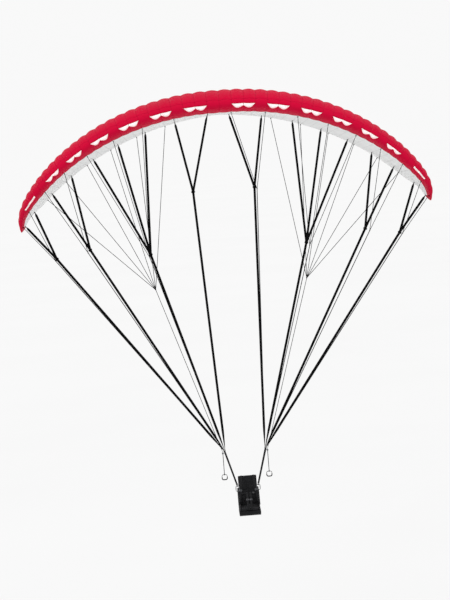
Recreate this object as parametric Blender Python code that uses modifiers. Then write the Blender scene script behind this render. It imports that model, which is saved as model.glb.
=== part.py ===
"""A paraglider: a ram-air canopy, its suspension lines, risers and brakes, and a seated harness.

Metres, +Z up. X runs across the span, the leading edge faces -Y, and left is the flyer's own left, +X.
The origin is on the plane of symmetry, at the underside of the canopy a third of the way back.
"""
import math

import bmesh
import bpy
import numpy as np
from mathutils import Matrix, Vector

COLLECTION = "paraglider"
SIDES = {"left": 1, "right": -1}
GAP = 0.0005                       # clearance between pieces that touch

# Canopy: seen from the front, the underside follows an ellipse that bends further down at the tips
ARC_RADIUS_X = 5.19
ARC_RADIUS_Z = 4.61
ARC_END = math.radians(56.0)
TIP_CURL = math.radians(30)        # extra bend of the arc towards the tips
CURL_START = 0.90                  # share of the half span where it begins
CELLS = 24                         # on each side of the middle
TIP_CELL_WIDTH = 0.70              # of a middle cell's width
ROOT_CHORD = 2.88
CHORD_LOSS = 0.88                  # chord = root * sqrt(1 - loss * share ** power)
CHORD_POWER = 2.2
POINT_LOSS = 0.46                  # the tips narrow by this much more, to a point
POINT_START = 0.88                 # share of the half span where that begins
STRAIGHT_LINE = 0.50               # share of the chord that lies on one straight line across the span
ORIGIN_SHARE = 1 / 3               # share of the root chord ahead of the origin
WASH_IN = math.radians(3.9)        # nose-up turn of the tip sections
THICKNESS = 0.159                  # of the chord
THICKEST_AT = 0.30                 # behind this the underside is flat
NOSE_HEIGHT = 0.0615               # of the chord, above the underside
TRAILING_EDGE = 0.0043             # half thickness at the rear, of the chord, and no less than for 1 m
TIP_THINNING = 0.19
CELL_SWELL = 0.024                 # how far a cell's top bulges between two ribs
UNDERSIDE_SWELL = 0.010
SKIN = 0.003
SEAM = 0.0030                      # gap along a seam between two skins, less on their inner faces
BAND_REAR = 0.155                   # the red band's rear seam, below
BAND_TOP = 0.010                   # and its seam with the upper skin, above the nose
BAND_SPREAD = 0.40                 # how much further back the seam lies at the tips
LIP_ROW = 0.055                    # on the band, below the intakes
UNDERSIDE_ROWS = (0.0, 0.2, 0.6, 1.0)   # shares of the way from the band's rear seam to the trailing edge
INTAKE_TOP = 0.0004
INTAKE_LIP = 0.030
PAIR_STARTS = (1, 4, 7, 10, 13, 16)   # first cells of the lobed pairs of intakes
SLOT_START = 20                    # first of the two cells with a plain slot
SLOT_DEPTH = 0.75
TIP_CAP_LENGTH = 0.11
TIP_CAP_LEAN = math.radians(12)    # the caps point inwards of the last cell's direction
TIP_CAP_STAGES = ((0.40, 0.95), (0.75, 0.80), (0.95, 0.58), (1.0, 0.36))   # share of the length, of the size

# Lines
LINE_SIDES = 8
TIP_RADIUS = 0.0025                # a line ends in a thin sewn loop
KNOT_START = 0.4                   # lines start this far from their knot's middle, in their own radii
TIP_TAPER = 0.14
MAILLON_TAPER = 0.42
MAILLON_SPACING = 0.012
# row: share of the chord, fore-and-aft place on the riser, radius of upper lines, radius of main lines
LINE_ROWS = {"a": (0.18, -0.035, 0.006, 0.008), "b": (0.80, 0.050, 0.025, 0.026)}
# cascade: knot's x and z, ribs that its upper lines reach
CASCADES = [
    (0.66, -1.62, (1, 4)),
    (1.67, -2.88, (7, 10, 13)),
    (2.95, -2.68, (16, 19)),
    (3.66, -2.81, (22, 24)),
]
BRAKE_RIBS = (5, 8, 11, 14, 17, 20)
BRAKE_CHORD = 0.975
BRAKE_KNOT_SHARE = 0.45
BRAKE_RADIUS = 0.006

# Risers, carabiners and brakes
RISER_X = 0.44
RISER_TOP = -7.083
MAILLON_SIZE = (0.058, 0.020, 0.016)
RISER_WIDTH = 0.036
RISER_THICKNESS = 0.012
HANG_X = 0.222                     # the carabiners
HANG_Z = -7.87                     # axis of their top bars, on which the harness swings
CARABINER_HEIGHT = 0.11
CARABINER_HALF_WIDTH = 0.034
CARABINER_CORNER = 0.018
CARABINER_ROD = 0.006
EYE_HOLE = 0.0066
EYE_RADIUS = 0.016
EYE_LENGTH = 0.030
PULLEY_X = 0.475
PULLEY_Z = -7.155
PULLEY_RADIUS = 0.020
PULLEY_WIDTH = 0.018
TAB_HEIGHT = 0.010
BRAKE_CORD_RADIUS = 0.007
HANDLE_TOP = -7.60
HANDLE_HALF_WIDTH = 0.055
HANDLE_HEIGHT = 0.13
HANDLE_TUBE = 0.011

# Harness, in its own fore-and-aft place
HARNESS_Y = -0.095                 # the empty harness hangs plumb under its carabiners
SEAT_Z = -8.28
SEAT_FRONT = -0.30
SEAT_REAR = 0.13
PAD_THICKNESS = 0.05
PAD_HALF_WIDTH = 0.20
PAD_BEVEL = 0.014
BACK_LEAN = math.radians(11.0)
BACK_LENGTH = 0.66
PANEL_THICKNESS = 0.014
PROTECTOR_HALF_WIDTH = 0.23
RESERVE_HALF_WIDTH = 0.17
WEBBING_WIDTH = 0.04
WEBBING_THICKNESS = 0.014
STRAP_WIDTH = 0.045
STRAP_THICKNESS = 0.006
LEG_STRAP_X = 0.035

# name: colour, roughness, metallic
FINISHES = {
    "canopy_red": ((0.62, 0.012, 0.035, 1), 0.55, 0.0),
    "canopy_grey": ((0.72, 0.73, 0.73, 1), 0.6, 0.0),
    "line_black": ((0.012, 0.012, 0.013, 1), 0.7, 0.0),
    "harness_black": ((0.016, 0.016, 0.018, 1), 0.75, 0.0),
    "webbing_black": ((0.02, 0.02, 0.022, 1), 0.65, 0.0),
    "alloy": ((0.55, 0.56, 0.58, 1), 0.35, 1.0),
}


def clear_scene():
    for item in list(bpy.data.objects):
        bpy.data.objects.remove(item)


def make_materials():
    for name, (colour, roughness, metallic) in FINISHES.items():
        material = bpy.data.materials.new(name)
        material.use_nodes = True
        shader = material.node_tree.nodes["Principled BSDF"]
        shader.inputs["Base Color"].default_value = colour
        shader.inputs["Roughness"].default_value = roughness
        shader.inputs["Metallic"].default_value = metallic


def make_collections():
    for name in (COLLECTION, "cutters"):
        bpy.context.scene.collection.children.link(bpy.data.collections.new(name))


def place(item, finish):
    """Puts a finished piece in the part's collection with its material."""
    item.data.materials.append(bpy.data.materials[finish])
    bpy.data.collections[COLLECTION].objects.link(item)
    return item


def mesh_piece(name, bm, finish):
    bmesh.ops.recalc_face_normals(bm, faces=bm.faces)
    mesh = bpy.data.meshes.new(name)
    bm.to_mesh(mesh)
    bm.free()
    mesh.shade_smooth()
    mesh.set_sharp_from_angle(angle=math.radians(35))
    return place(bpy.data.objects.new(name, mesh), finish)


def guide(name, bm):
    """A mesh that is only joined to or cut from a piece."""
    bmesh.ops.recalc_face_normals(bm, faces=bm.faces)
    mesh = bpy.data.meshes.new(name)
    bm.to_mesh(mesh)
    bm.free()
    item = bpy.data.objects.new(name, mesh)
    item.hide_render = True
    item.display_type = "WIRE"
    bpy.data.collections["cutters"].objects.link(item)
    return item


def combine(piece, bm, operation="UNION"):
    modifier = piece.modifiers.new(operation.lower(), "BOOLEAN")
    modifier.operation = operation
    modifier.object = guide(piece.name + "_" + operation.lower(), bm)


def joined(name, finish, solids, holes=()):
    """One piece from several closed meshes, with holes cut through them afterwards."""
    piece = mesh_piece(name, solids[0], finish)
    for bm in solids[1:]:
        combine(piece, bm)
    for bm in holes:
        combine(piece, bm, "DIFFERENCE")
    return piece


def frame_along(start, end, across=Vector((1, 0, 0))):
    """Matrix at start whose local Z points at end and whose local X is nearest to across."""
    along = (end - start).normalized()
    second = along.cross(across).normalized()
    first = second.cross(along)
    return Matrix.Translation(start) @ Matrix((first, second, along)).transposed().to_4x4()


def tube(start, end, stations):
    """A straight round tube through (distance from start, radius) stations, closed at both ends."""
    bm = bmesh.new()
    base = frame_along(start, end, Vector((0.3, 0.9, 0.1)))
    rings = []
    for index, (distance, radius) in enumerate(stations):
        verts = bmesh.ops.create_circle(
            bm, cap_ends=index in (0, len(stations) - 1), segments=LINE_SIDES, radius=radius,
            matrix=base @ Matrix.Translation((0, 0, distance)))["verts"]
        rings.append([edge for edge in bm.edges if edge.verts[0] in verts and edge.verts[1] in verts])
    for lower, upper in zip(rings, rings[1:]):
        bmesh.ops.bridge_loops(bm, edges=lower + upper)
    return bm


def beam(start, end, width, thickness, across=Vector((1, 0, 0))):
    """A straight strap: width lies along across, thickness square to it."""
    bm = bmesh.new()
    length = (end - start).length
    bmesh.ops.create_cube(
        bm, size=1, matrix=frame_along(start, end, across)
        @ Matrix.Translation((0, 0, length / 2)) @ Matrix.Diagonal((width, thickness, length, 1)))
    return bm


def block(centre, size):
    bm = bmesh.new()
    bmesh.ops.create_cube(bm, size=1, matrix=Matrix.Translation(centre) @ Matrix.Diagonal((*size, 1)))
    return bm


def drum(centre, axis, radius, length, sides=16):
    bm = bmesh.new()
    turn = Vector((0, 0, 1)).rotation_difference(axis).to_matrix().to_4x4()
    bmesh.ops.create_cone(
        bm, cap_ends=True, segments=sides, radius1=radius, radius2=radius, depth=length,
        matrix=Matrix.Translation(centre) @ turn)
    return bm


def ball(centre, radius):
    bm = bmesh.new()
    bmesh.ops.create_icosphere(bm, subdivisions=1, radius=radius, matrix=Matrix.Translation(centre))
    return bm


def soften(piece, width, segments=2):
    modifier = piece.modifiers.new("rounded_edges", "BEVEL")
    modifier.width = width
    modifier.segments = segments
    modifier.limit_method = "ANGLE"
    return piece


# The canopy's surface

def arc_table(steps=720):
    """The underside from the middle to one tip, seen from the front: shares of its length, places and headings."""
    angles = np.linspace(0, ARC_END, steps + 1)
    lengths = np.hypot(np.diff(ARC_RADIUS_X * np.sin(angles)), np.diff(ARC_RADIUS_Z * np.cos(angles)))
    shares = np.concatenate(([0.0], np.cumsum(lengths))) / lengths.sum()
    headings = np.arctan2(ARC_RADIUS_Z * np.sin(angles), ARC_RADIUS_X * np.cos(angles))
    headings += TIP_CURL * np.clip((shares - CURL_START) / (1 - CURL_START), 0, 1) ** 2
    middles = (headings[1:] + headings[:-1]) / 2
    across = np.concatenate(([0.0], np.cumsum(lengths * np.cos(middles))))
    down = np.concatenate(([0.0], np.cumsum(lengths * np.sin(middles))))
    return shares, across, down, headings


ARC_SHARES, ARC_ACROSS, ARC_DOWN, ARC_HEADINGS = arc_table()
CELL_WIDTHS = [1 - (1 - TIP_CELL_WIDTH) * k / (CELLS - 1) for k in range(CELLS)]
RIB_SHARES = [sum(CELL_WIDTHS[:k]) / sum(CELL_WIDTHS) for k in range(CELLS + 1)]


def half_thickness(x):
    return 5 * THICKNESS * (0.2969 * math.sqrt(x) - 0.126 * x - 0.3516 * x ** 2
                            + 0.2843 * x ** 3 - 0.1036 * x ** 4)


def section_height(x, side):
    """Height above the flat underside, in chords: a raised nose in front, a flat bottom behind."""
    if x >= THICKEST_AT:
        middle = half_thickness(x)
    else:
        rise = math.sin(math.pi / 2 * x / THICKEST_AT)
        middle = NOSE_HEIGHT + (half_thickness(THICKEST_AT) - NOSE_HEIGHT) * rise
    return middle + side * half_thickness(x)


def share_at(rib):
    return float(np.interp(abs(rib), range(CELLS + 1), RIB_SHARES))


def pointing(rib):
    """How the tips narrow to a point: 1 on most of the canopy, less towards its ends."""
    return 1 - POINT_LOSS * max(0.0, (share_at(rib) - POINT_START) / (1 - POINT_START)) ** 2


def chord_at(rib):
    return ROOT_CHORD * math.sqrt(1 - CHORD_LOSS * share_at(rib) ** CHORD_POWER) * pointing(rib)


def swell(rib, x, side):
    """Bulge of a cell between its two ribs, fading to nothing at the trailing edge."""
    across = math.sin(math.pi * (abs(rib) % 1.0))
    along = math.sin(math.pi * min(1.0, 0.18 + 0.82 * x ** 0.6))
    return (CELL_SWELL if side > 0 else UNDERSIDE_SWELL) * across * along * pointing(rib) ** 2


def canopy_point(rib, x, side):
    """Outer surface: rib counts cell edges from the middle, x is the share of the chord, side +1 is the top."""
    share = share_at(rib)
    way = math.copysign(1, rib)
    heading = way * float(np.interp(share, ARC_SHARES, ARC_HEADINGS))
    chord = chord_at(rib)
    normal = Vector((math.sin(heading), 0, math.cos(heading)))
    thinning = 1 - TIP_THINNING * share ** 12
    height = section_height(x, side) * thinning * chord + side * TRAILING_EDGE * x * max(chord, 1.0)
    height += side * swell(rib, x, side)
    back = (x - STRAIGHT_LINE) * chord
    tilt = WASH_IN * (1 - (1 - share) ** 2)
    lift = height * math.cos(tilt) - back * math.sin(tilt)
    aft = back * math.cos(tilt) + height * math.sin(tilt)
    foot = Vector((way * float(np.interp(share, ARC_SHARES, ARC_ACROSS)), 0,
                   -float(np.interp(share, ARC_SHARES, ARC_DOWN))))
    foot += normal * THICKNESS * thinning * chord * (1 / pointing(rib) - 1)
    return foot + normal * lift + Vector((0, aft + (STRAIGHT_LINE - ORIGIN_SHARE) * ROOT_CHORD, 0))


def canopy_sheet(name, finish, rows, steps, is_open=None):
    """An outer skin: rows give (x, side) at a rib, from the rear underside round the nose to the top."""
    columns = 2 * CELLS * steps
    bm = bmesh.new()
    bmesh.ops.create_grid(bm, x_segments=columns, y_segments=len(rows) - 1, size=1)

    def column(value):
        return (value + 1) / 2 * columns

    def row(value):
        return (value + 1) / 2 * (len(rows) - 1)

    if is_open:
        holes = [face for face in bm.faces
                 if is_open(column(face.calc_center_median().x) / steps - CELLS,
                            row(face.calc_center_median().y))]
        bmesh.ops.delete(bm, geom=holes, context="FACES")
    for vert in bm.verts:
        rib = round(column(vert.co.x)) / steps - CELLS
        vert.co = canopy_point(rib, *rows[round(row(vert.co.y))](rib))
    mesh = bpy.data.meshes.new(name)
    bm.to_mesh(mesh)
    bm.free()
    mesh.shade_smooth()
    piece = place(bpy.data.objects.new(name, mesh), finish)
    wall = piece.modifiers.new("wall", "SOLIDIFY")
    wall.thickness = SKIN
    wall.offset = -1
    return piece


def at(x, side, inset=0.0):
    """A row at one share of the chord, moved by a true distance inset towards the rear, or more at the tips."""
    return lambda rib: (x + inset / (chord_at(rib) * pointing(rib)), side)


def band_rear(rib):
    """Share of the chord at the red band's rear seam, which runs back near the tips."""
    return BAND_REAR + BAND_SPREAD * (1 - pointing(rib)) / POINT_LOSS


def under(share, inset=0.0):
    """A row on the underside, at a share of the way from the band's rear seam to the trailing edge."""
    def row(rib):
        rear = band_rear(rib)
        return rear + share * (1 - rear) + inset / (chord_at(rib) * pointing(rib)), -1
    return row


def cell_is_open(rib):
    cell = int(abs(rib))
    return any(start <= cell <= start + 1 for start in (*PAIR_STARTS, SLOT_START))


def intake_depth(rib):
    """How deep an intake hangs below its straight top edge: two round lobes to a pair of cells, or a slot."""
    if SLOT_START <= abs(rib) <= SLOT_START + 2:
        return SLOT_DEPTH
    from_pair = min((abs(abs(rib) - start - 1) for start in PAIR_STARTS))
    edge = 0.5 if from_pair < 0.5 else 0.06
    return edge + (1 - edge) * math.sin(math.pi * min(from_pair, 1.0))


def intake_row(rib):
    depth = intake_depth(rib)
    return INTAKE_TOP + (INTAKE_LIP - INTAKE_TOP) * depth ** 2, -1


def canopy():
    canopy_sheet("upper_skin", "canopy_red", [
        at(BAND_TOP, 1, SEAM), at(0.035, 1), at(0.10, 1), at(0.25, 1), at(0.47, 1),
        at(0.74, 1), at(1.0, 1), at(1.0, -1)], 4)
    canopy_sheet("intake_band", "canopy_red", [
        under(0.0), at(LIP_ROW, -1), intake_row, at(INTAKE_TOP, -1), at(BAND_TOP, 1)], 4,
        is_open=lambda rib, row: cell_is_open(rib) and 2 < row < 3)
    canopy_sheet("lower_skin", "canopy_grey", [
        under(1.0, -SKIN - 3 * GAP), *(under(share) for share in UNDERSIDE_ROWS[-2:0:-1]), under(0.0, SEAM)], 2)
    for name, way in SIDES.items():
        wingtip(name, way)


def wingtip(name, way):
    """The closed end of the canopy, a cap that tapers outwards from the last section."""
    rib = way * CELLS
    outline = [canopy_point(rib, x, 1) for x in (1.0, 0.74, 0.47, 0.25, 0.10, 0.035, 0.0)]
    outline += [canopy_point(rib, LIP_ROW, -1)]
    outline += [canopy_point(rib, *under(share)(rib)) for share in UNDERSIDE_ROWS]
    outward = (canopy_point(rib, 0.5, -1) - canopy_point(rib - way, 0.5, -1))
    outward = Vector((outward.x, 0, outward.z)).normalized()
    leaning = Matrix.Rotation(way * TIP_CAP_LEAN, 3, "Y") @ outward
    bm = bmesh.new()
    face = bm.faces.new([bm.verts.new(point + outward * GAP) for point in outline])
    length, size = 0.0, 1.0
    for next_length, next_size in TIP_CAP_STAGES:
        grown = bmesh.ops.extrude_face_region(bm, geom=[face])["geom"]
        verts = [item for item in grown if isinstance(item, bmesh.types.BMVert)]
        if length:
            bmesh.ops.delete(bm, geom=[face], context="FACES_ONLY")
        face = next(item for item in grown if isinstance(item, bmesh.types.BMFace))
        bmesh.ops.translate(bm, verts=verts, vec=leaning * TIP_CAP_LENGTH * (next_length - length))
        bmesh.ops.scale(bm, verts=verts, vec=Vector((1, 1, 1)) * next_size / size,
                        space=Matrix.Translation(-face.calc_center_median()))
        length, size = next_length, next_size
    mesh_piece("wingtip_" + name, bm, "canopy_red")


# Lines

def attachment(rib, x):
    """A point on the underside's facets at a rib, and the direction that points down out of it."""
    rows = [LIP_ROW] + [under(share)(rib)[0] for share in UNDERSIDE_ROWS]
    fore_row = max(row for row in rows if row < x)
    aft_row = min(row for row in rows if row >= x)
    fore = canopy_point(rib, fore_row, -1)
    aft = canopy_point(rib, aft_row, -1)
    way = math.copysign(0.5, rib)
    outer = canopy_point(rib + way if abs(rib) < CELLS else rib, x, -1)
    across = (outer - canopy_point(rib - way, x, -1)) * way
    return fore.lerp(aft, (x - fore_row) / (aft_row - fore_row)), (aft - fore).cross(across).normalized()


def line_to(knot, seat, out, radius, taper):
    """A line from a knot that ends thin, just clear of a seat whose surface faces along out."""
    slope = (knot - seat).normalized().dot(out)
    reach = (GAP + TIP_RADIUS * math.sqrt(1 - slope * slope)) / slope
    length = (seat - knot).length - reach
    return tube(knot, seat, [(radius * KNOT_START, radius), (length - taper, radius), (length, TIP_RADIUS)])


def hanging_line(knot, rib, x, radius):
    """A line from a knot up to where it is sewn to the canopy."""
    return line_to(knot, *attachment(rib, x), radius, TIP_TAPER)


def main_line(knot, foot, radius):
    """A line from a knot down to the top of its riser."""
    return line_to(knot, foot, Vector((0, 0, 1)), radius, MAILLON_TAPER)


def line_groups(name, way):
    for row, (x, riser_y, upper, lower) in LINE_ROWS.items():
        for index, (knot_x, knot_z, ribs) in enumerate(CASCADES):
            tops = [canopy_point(way * rib, x, -1) for rib in ribs]
            mean = sum(tops, Vector()) / len(tops)
            foot_x = RISER_X + MAILLON_SPACING * (index - (len(CASCADES) - 1) / 2)
            foot = Vector((way * foot_x, riser_y, RISER_TOP))
            share = (mean.z - knot_z) / (mean.z - foot.z)
            knot = Vector((way * knot_x, mean.y + (foot.y - mean.y) * share, knot_z))
            solids = [main_line(knot, foot, lower)]
            solids += [hanging_line(knot, way * rib, x, upper) for rib in ribs]
            solids.append(ball(knot, lower * 1.5))
            joined(f"{row}_lines_{name}_{index + 1}", "line_black", solids)


def brake_lines(name, way):
    tops = [canopy_point(way * rib, BRAKE_CHORD, -1) for rib in BRAKE_RIBS]
    mean = sum(tops, Vector()) / len(tops)
    foot = Vector((way * PULLEY_X, riser_at("b", PULLEY_Z).y, PULLEY_Z + PULLEY_RADIUS * math.cos(math.pi / 16)))
    knot = mean.lerp(foot, BRAKE_KNOT_SHARE)
    solids = [main_line(knot, foot, BRAKE_RADIUS)]
    solids += [hanging_line(knot, way * rib, BRAKE_CHORD, BRAKE_RADIUS) for rib in BRAKE_RIBS]
    solids.append(ball(knot, BRAKE_RADIUS * 2))
    joined("brake_lines_" + name, "line_black", solids)


# Risers, carabiners and brakes

def riser_at(row, z, way=1):
    """Middle of a row's strap at a height, on the straight run from the carabiner to the row's link."""
    low = HANG_Z + EYE_HOLE + 0.006
    share = (z - low) / (RISER_TOP - MAILLON_SIZE[2] / 2 - low)
    return Vector((way * (HANG_X + (RISER_X - HANG_X) * share), LINE_ROWS[row][1] * share, z))


def riser(name, way):
    """Front and rear straps from one loop on the carabiner to the two rows' links."""
    eye = Vector((way * HANG_X, 0, HANG_Z))
    solids = [drum(eye, Vector((1, 0, 0)), EYE_RADIUS, EYE_LENGTH)]
    for row in LINE_ROWS:
        end = riser_at(row, RISER_TOP - MAILLON_SIZE[2] / 2, way)
        start = riser_at(row, HANG_Z + EYE_HOLE + 0.006, way)
        solids.append(beam(start, end, RISER_WIDTH, RISER_THICKNESS))
        solids.append(block(end, MAILLON_SIZE))
    hole = drum(eye, Vector((1, 0, 0)), EYE_HOLE, 2 * EYE_LENGTH)
    joined("riser_" + name, "webbing_black", solids, [hole])


def pulley(name, way):
    """The block that turns the brake line, on a tab from the rear riser."""
    strap_middle = riser_at("b", PULLEY_Z)
    centre = Vector((way * PULLEY_X, strap_middle.y, PULLEY_Z))
    slant = (RISER_X - strap_middle.x) / (RISER_TOP - PULLEY_Z)
    face = strap_middle.x + RISER_WIDTH / 2 * math.hypot(1, slant) + slant * TAB_HEIGHT / 2 + GAP
    tab = beam(Vector((way * face, strap_middle.y, PULLEY_Z)), centre, 0.012, TAB_HEIGHT, Vector((0, 1, 0)))
    joined("brake_pulley_" + name, "alloy", [drum(centre, Vector((0, 1, 0)), PULLEY_RADIUS, PULLEY_WIDTH), tab])


def rounded_loop(half_width, top, bottom, corner, steps=4):
    """Points of an upright rounded rectangle in X and Z."""
    points = []
    for turn, (x, z) in enumerate([(1, top - corner), (-1, top - corner),
                                   (-1, bottom + corner), (1, bottom + corner)]):
        for step in range(steps + 1):
            angle = math.pi / 2 * (turn + step / steps)
            points.append((x * (half_width - corner) + corner * math.cos(angle), z + corner * math.sin(angle)))
    return points


def rod_loop(name, finish, centre, points, radius, resolution=2):
    """A closed rod through points given in X and Z from a centre."""
    curve = bpy.data.curves.new(name, "CURVE")
    curve.dimensions = "3D"
    curve.bevel_depth = radius
    curve.bevel_resolution = resolution
    spline = curve.splines.new("POLY")
    spline.points.add(len(points) - 1)
    for point, (x, z) in zip(spline.points, points):
        point.co = (centre[0] + x, centre[1], centre[2] + z, 1)
    spline.use_cyclic_u = True
    return place(bpy.data.objects.new(name, curve), finish)


def carabiner(name, way):
    loop = rounded_loop(CARABINER_HALF_WIDTH, 0, -CARABINER_HEIGHT, CARABINER_CORNER)
    rod_loop("carabiner_" + name, "alloy", (way * HANG_X, 0, HANG_Z), loop, CARABINER_ROD)


def brake(name, way):
    """The lower brake cord, plumb under the pulley, and the handle on it."""
    y = riser_at("b", PULLEY_Z).y
    top = Vector((way * PULLEY_X, y, PULLEY_Z - PULLEY_RADIUS - GAP))
    bottom = Vector((way * PULLEY_X, y, HANDLE_TOP + GAP))
    length = (top - bottom).length
    mesh_piece("brake_cord_" + name, tube(top, bottom, [(0, BRAKE_CORD_RADIUS), (length, BRAKE_CORD_RADIUS)]),
               "line_black")
    loop = rounded_loop(HANDLE_HALF_WIDTH, -HANDLE_TUBE, -HANDLE_HEIGHT + HANDLE_TUBE, 0.035)
    rod_loop("brake_handle_" + name, "webbing_black", (way * PULLEY_X, y, HANDLE_TOP), loop, HANDLE_TUBE)


# Harness: outlines are given fore and aft, and up

LEAN_UP = Vector((0, math.sin(BACK_LEAN), math.cos(BACK_LEAN)))
LEAN_BACK = Vector((0, math.cos(BACK_LEAN), -math.sin(BACK_LEAN)))
SEAT_UNDER = SEAT_Z - PAD_THICKNESS
BACK_FOOT = Vector((0, SEAT_REAR + GAP, SEAT_UNDER))


def behind_back(z, clearance=0.0):
    """Fore-and-aft place of the back pad's rear face at a height."""
    foot = BACK_FOOT + LEAN_BACK * (PAD_THICKNESS + clearance)
    return foot.y + (z - foot.z) * math.tan(BACK_LEAN)


def slab(name, finish, outline, low, high, bevel):
    """A flat piece: an outline in Y and Z, from low to high across X."""
    bm = bmesh.new()
    face = bm.faces.new([bm.verts.new((low, HARNESS_Y + y, z)) for y, z in outline])
    far = bmesh.ops.extrude_face_region(bm, geom=[face])["geom"]
    bmesh.ops.translate(
        bm, verts=[item for item in far if isinstance(item, bmesh.types.BMVert)], vec=(high - low, 0, 0))
    return soften(mesh_piece(name, bm, finish), bevel)


def strap(name, finish, path, width, thickness):
    """A ribbon that follows a path, its width along X."""
    bm = bmesh.new()
    start = bm.verts.new(Vector(path[0]) - Vector((width / 2, 0, 0)))
    edge = [start, bm.verts.new(Vector(path[0]) + Vector((width / 2, 0, 0)))]
    strip = bm.edges.new(edge)
    for before, after in zip(path, path[1:]):
        grown = bmesh.ops.extrude_edge_only(bm, edges=[strip])["geom"]
        strip = next(item for item in grown if isinstance(item, bmesh.types.BMEdge))
        bmesh.ops.translate(bm, verts=list(strip.verts), vec=Vector(after) - Vector(before))
    bmesh.ops.translate(bm, verts=bm.verts, vec=(0, HARNESS_Y, 0))
    piece = mesh_piece(name, bm, finish)
    wall = piece.modifiers.new("webbing", "SOLIDIFY")
    wall.thickness = thickness
    wall.offset = 0
    return piece


def pads():
    slab("seat_pad", "harness_black",
         [(SEAT_FRONT, SEAT_UNDER), (SEAT_REAR, SEAT_UNDER), (SEAT_REAR, SEAT_Z), (SEAT_FRONT, SEAT_Z)],
         -PAD_HALF_WIDTH, PAD_HALF_WIDTH, PAD_BEVEL)
    corners = [BACK_FOOT, BACK_FOOT + LEAN_BACK * PAD_THICKNESS,
               BACK_FOOT + LEAN_BACK * PAD_THICKNESS + LEAN_UP * BACK_LENGTH, BACK_FOOT + LEAN_UP * BACK_LENGTH]
    slab("back_pad", "harness_black", [(corner.y, corner.z) for corner in corners],
         -PAD_HALF_WIDTH, PAD_HALF_WIDTH, PAD_BEVEL)


def protector():
    low = SEAT_UNDER - GAP
    foot = behind_back(low - 0.012, GAP)
    slab("back_protector", "harness_black", [
        (SEAT_FRONT, low), (SEAT_FRONT - 0.03, -8.41), (-0.26, -8.455), (0.10, -8.46), (0.22, -8.43),
        (0.28, -8.35), (0.315, -8.20), (0.335, -8.02), (0.32, -7.94), (behind_back(-7.94, GAP), -7.94),
        (foot, low - 0.012), (SEAT_REAR, low - 0.012), (SEAT_REAR - 0.005, low)],
        -PROTECTOR_HALF_WIDTH, PROTECTOR_HALF_WIDTH, 0.008)


def reserve():
    low = -7.94 + GAP
    high = -7.715
    slab("reserve_container", "harness_black", [
        (behind_back(low, GAP), low), (0.32, low), (0.365, -7.90), (0.375, -7.79), (0.35, high),
        (behind_back(high, GAP), high)],
        -RESERVE_HALF_WIDTH, RESERVE_HALF_WIDTH, 0.02)


def side_panel(name, way):
    inner = PAD_HALF_WIDTH + GAP
    low = SEAT_UNDER + GAP
    outline = [
        (SEAT_FRONT, low), (SEAT_FRONT - 0.015, -8.26), (-0.10, -8.19), (0.06, -8.06), (0.165, -7.95),
        (behind_back(-7.95, -GAP), -7.95), (behind_back(low, -GAP), low)]
    slab("side_panel_" + name, "harness_black", outline, way * inner, way * (inner + PANEL_THICKNESS), 0.004)


def hip_webbing(name, way):
    """The strap that hangs the seat from the carabiner: one leg to the front, one to the rear."""
    eye = Vector((way * HANG_X, 0, HANG_Z - CARABINER_HEIGHT))
    start = eye - Vector((0, 0, EYE_HOLE + 0.006))
    solids = [drum(eye, Vector((1, 0, 0)), EYE_RADIUS, EYE_LENGTH)]
    for y, z in ((-0.13, -8.25), (0.17, -8.22)):
        end = Vector((way * HANG_X, HARNESS_Y + y, z))
        solids.append(beam(start, end, WEBBING_THICKNESS, WEBBING_WIDTH))
    hole = drum(eye, Vector((1, 0, 0)), EYE_HOLE, 2 * EYE_LENGTH)
    joined("hip_webbing_" + name, "webbing_black", solids, [hole])


def smooth_path(knots, steps=4):
    """A round path through a few points."""
    points = [Vector(knot) for knot in knots]
    ends = [2 * points[0] - points[1]] + points + [2 * points[-1] - points[-2]]
    path = []
    for before, here, there, after in zip(ends, ends[1:], ends[2:], ends[3:]):
        for step in range(steps):
            t = step / steps
            path.append(0.5 * (2 * here + (there - before) * t + (2 * before - 5 * here + 4 * there - after) * t * t
                               + (3 * here - before - 3 * there + after) * t ** 3))
    return path + [points[-1]]


CHEST_CENTRE = Vector((0, -0.0705, -8.005))
CHEST_DOWN = Vector((0, -0.26, -0.966)).normalized()
CHEST_OUT = Vector((0, -0.966, 0.26)).normalized()


def shoulder_strap(name, way):
    top = behind_back(-7.74) - PAD_THICKNESS / math.cos(BACK_LEAN) - 0.6 * STRAP_THICKNESS
    strap("shoulder_strap_" + name, "webbing_black", smooth_path([
        (way * 0.13, top, -7.74), (way * 0.13, top - 0.03, -7.69), (way * 0.132, 0.14, -7.665),
        (way * 0.138, 0.05, -7.72), (way * 0.15, -0.01, -7.83), (way * 0.165, -0.05, -7.94),
        (way * 0.18, -0.085, -8.07), (way * 0.19, -0.098, -8.185)]), STRAP_WIDTH, STRAP_THICKNESS)


def chest_strap():
    centre = CHEST_CENTRE + CHEST_OUT * (STRAP_THICKNESS + GAP)
    half = CHEST_DOWN * 0.015
    bm = beam(centre - half + Vector((0, HARNESS_Y, 0)), centre + half + Vector((0, HARNESS_Y, 0)),
              2 * 0.185, STRAP_THICKNESS)
    mesh_piece("chest_strap", bm, "webbing_black")


def leg_strap(name, way):
    end = CHEST_CENTRE + CHEST_OUT * (1.5 * STRAP_THICKNESS + 2 * GAP)
    knots = [(way * LEG_STRAP_X, SEAT_FRONT - 3 * GAP, -8.305), (way * LEG_STRAP_X, SEAT_FRONT - 0.035, -8.305),
             (way * LEG_STRAP_X, -0.365, -8.22), (way * LEG_STRAP_X, -0.30, -8.10)]
    last = [Vector((way * LEG_STRAP_X, end.y, end.z)) + CHEST_OUT * distance for distance in (0.10, 0.04, 0)]
    strap("leg_strap_" + name, "webbing_black", smooth_path(knots + last), 0.04, STRAP_THICKNESS)


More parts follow.
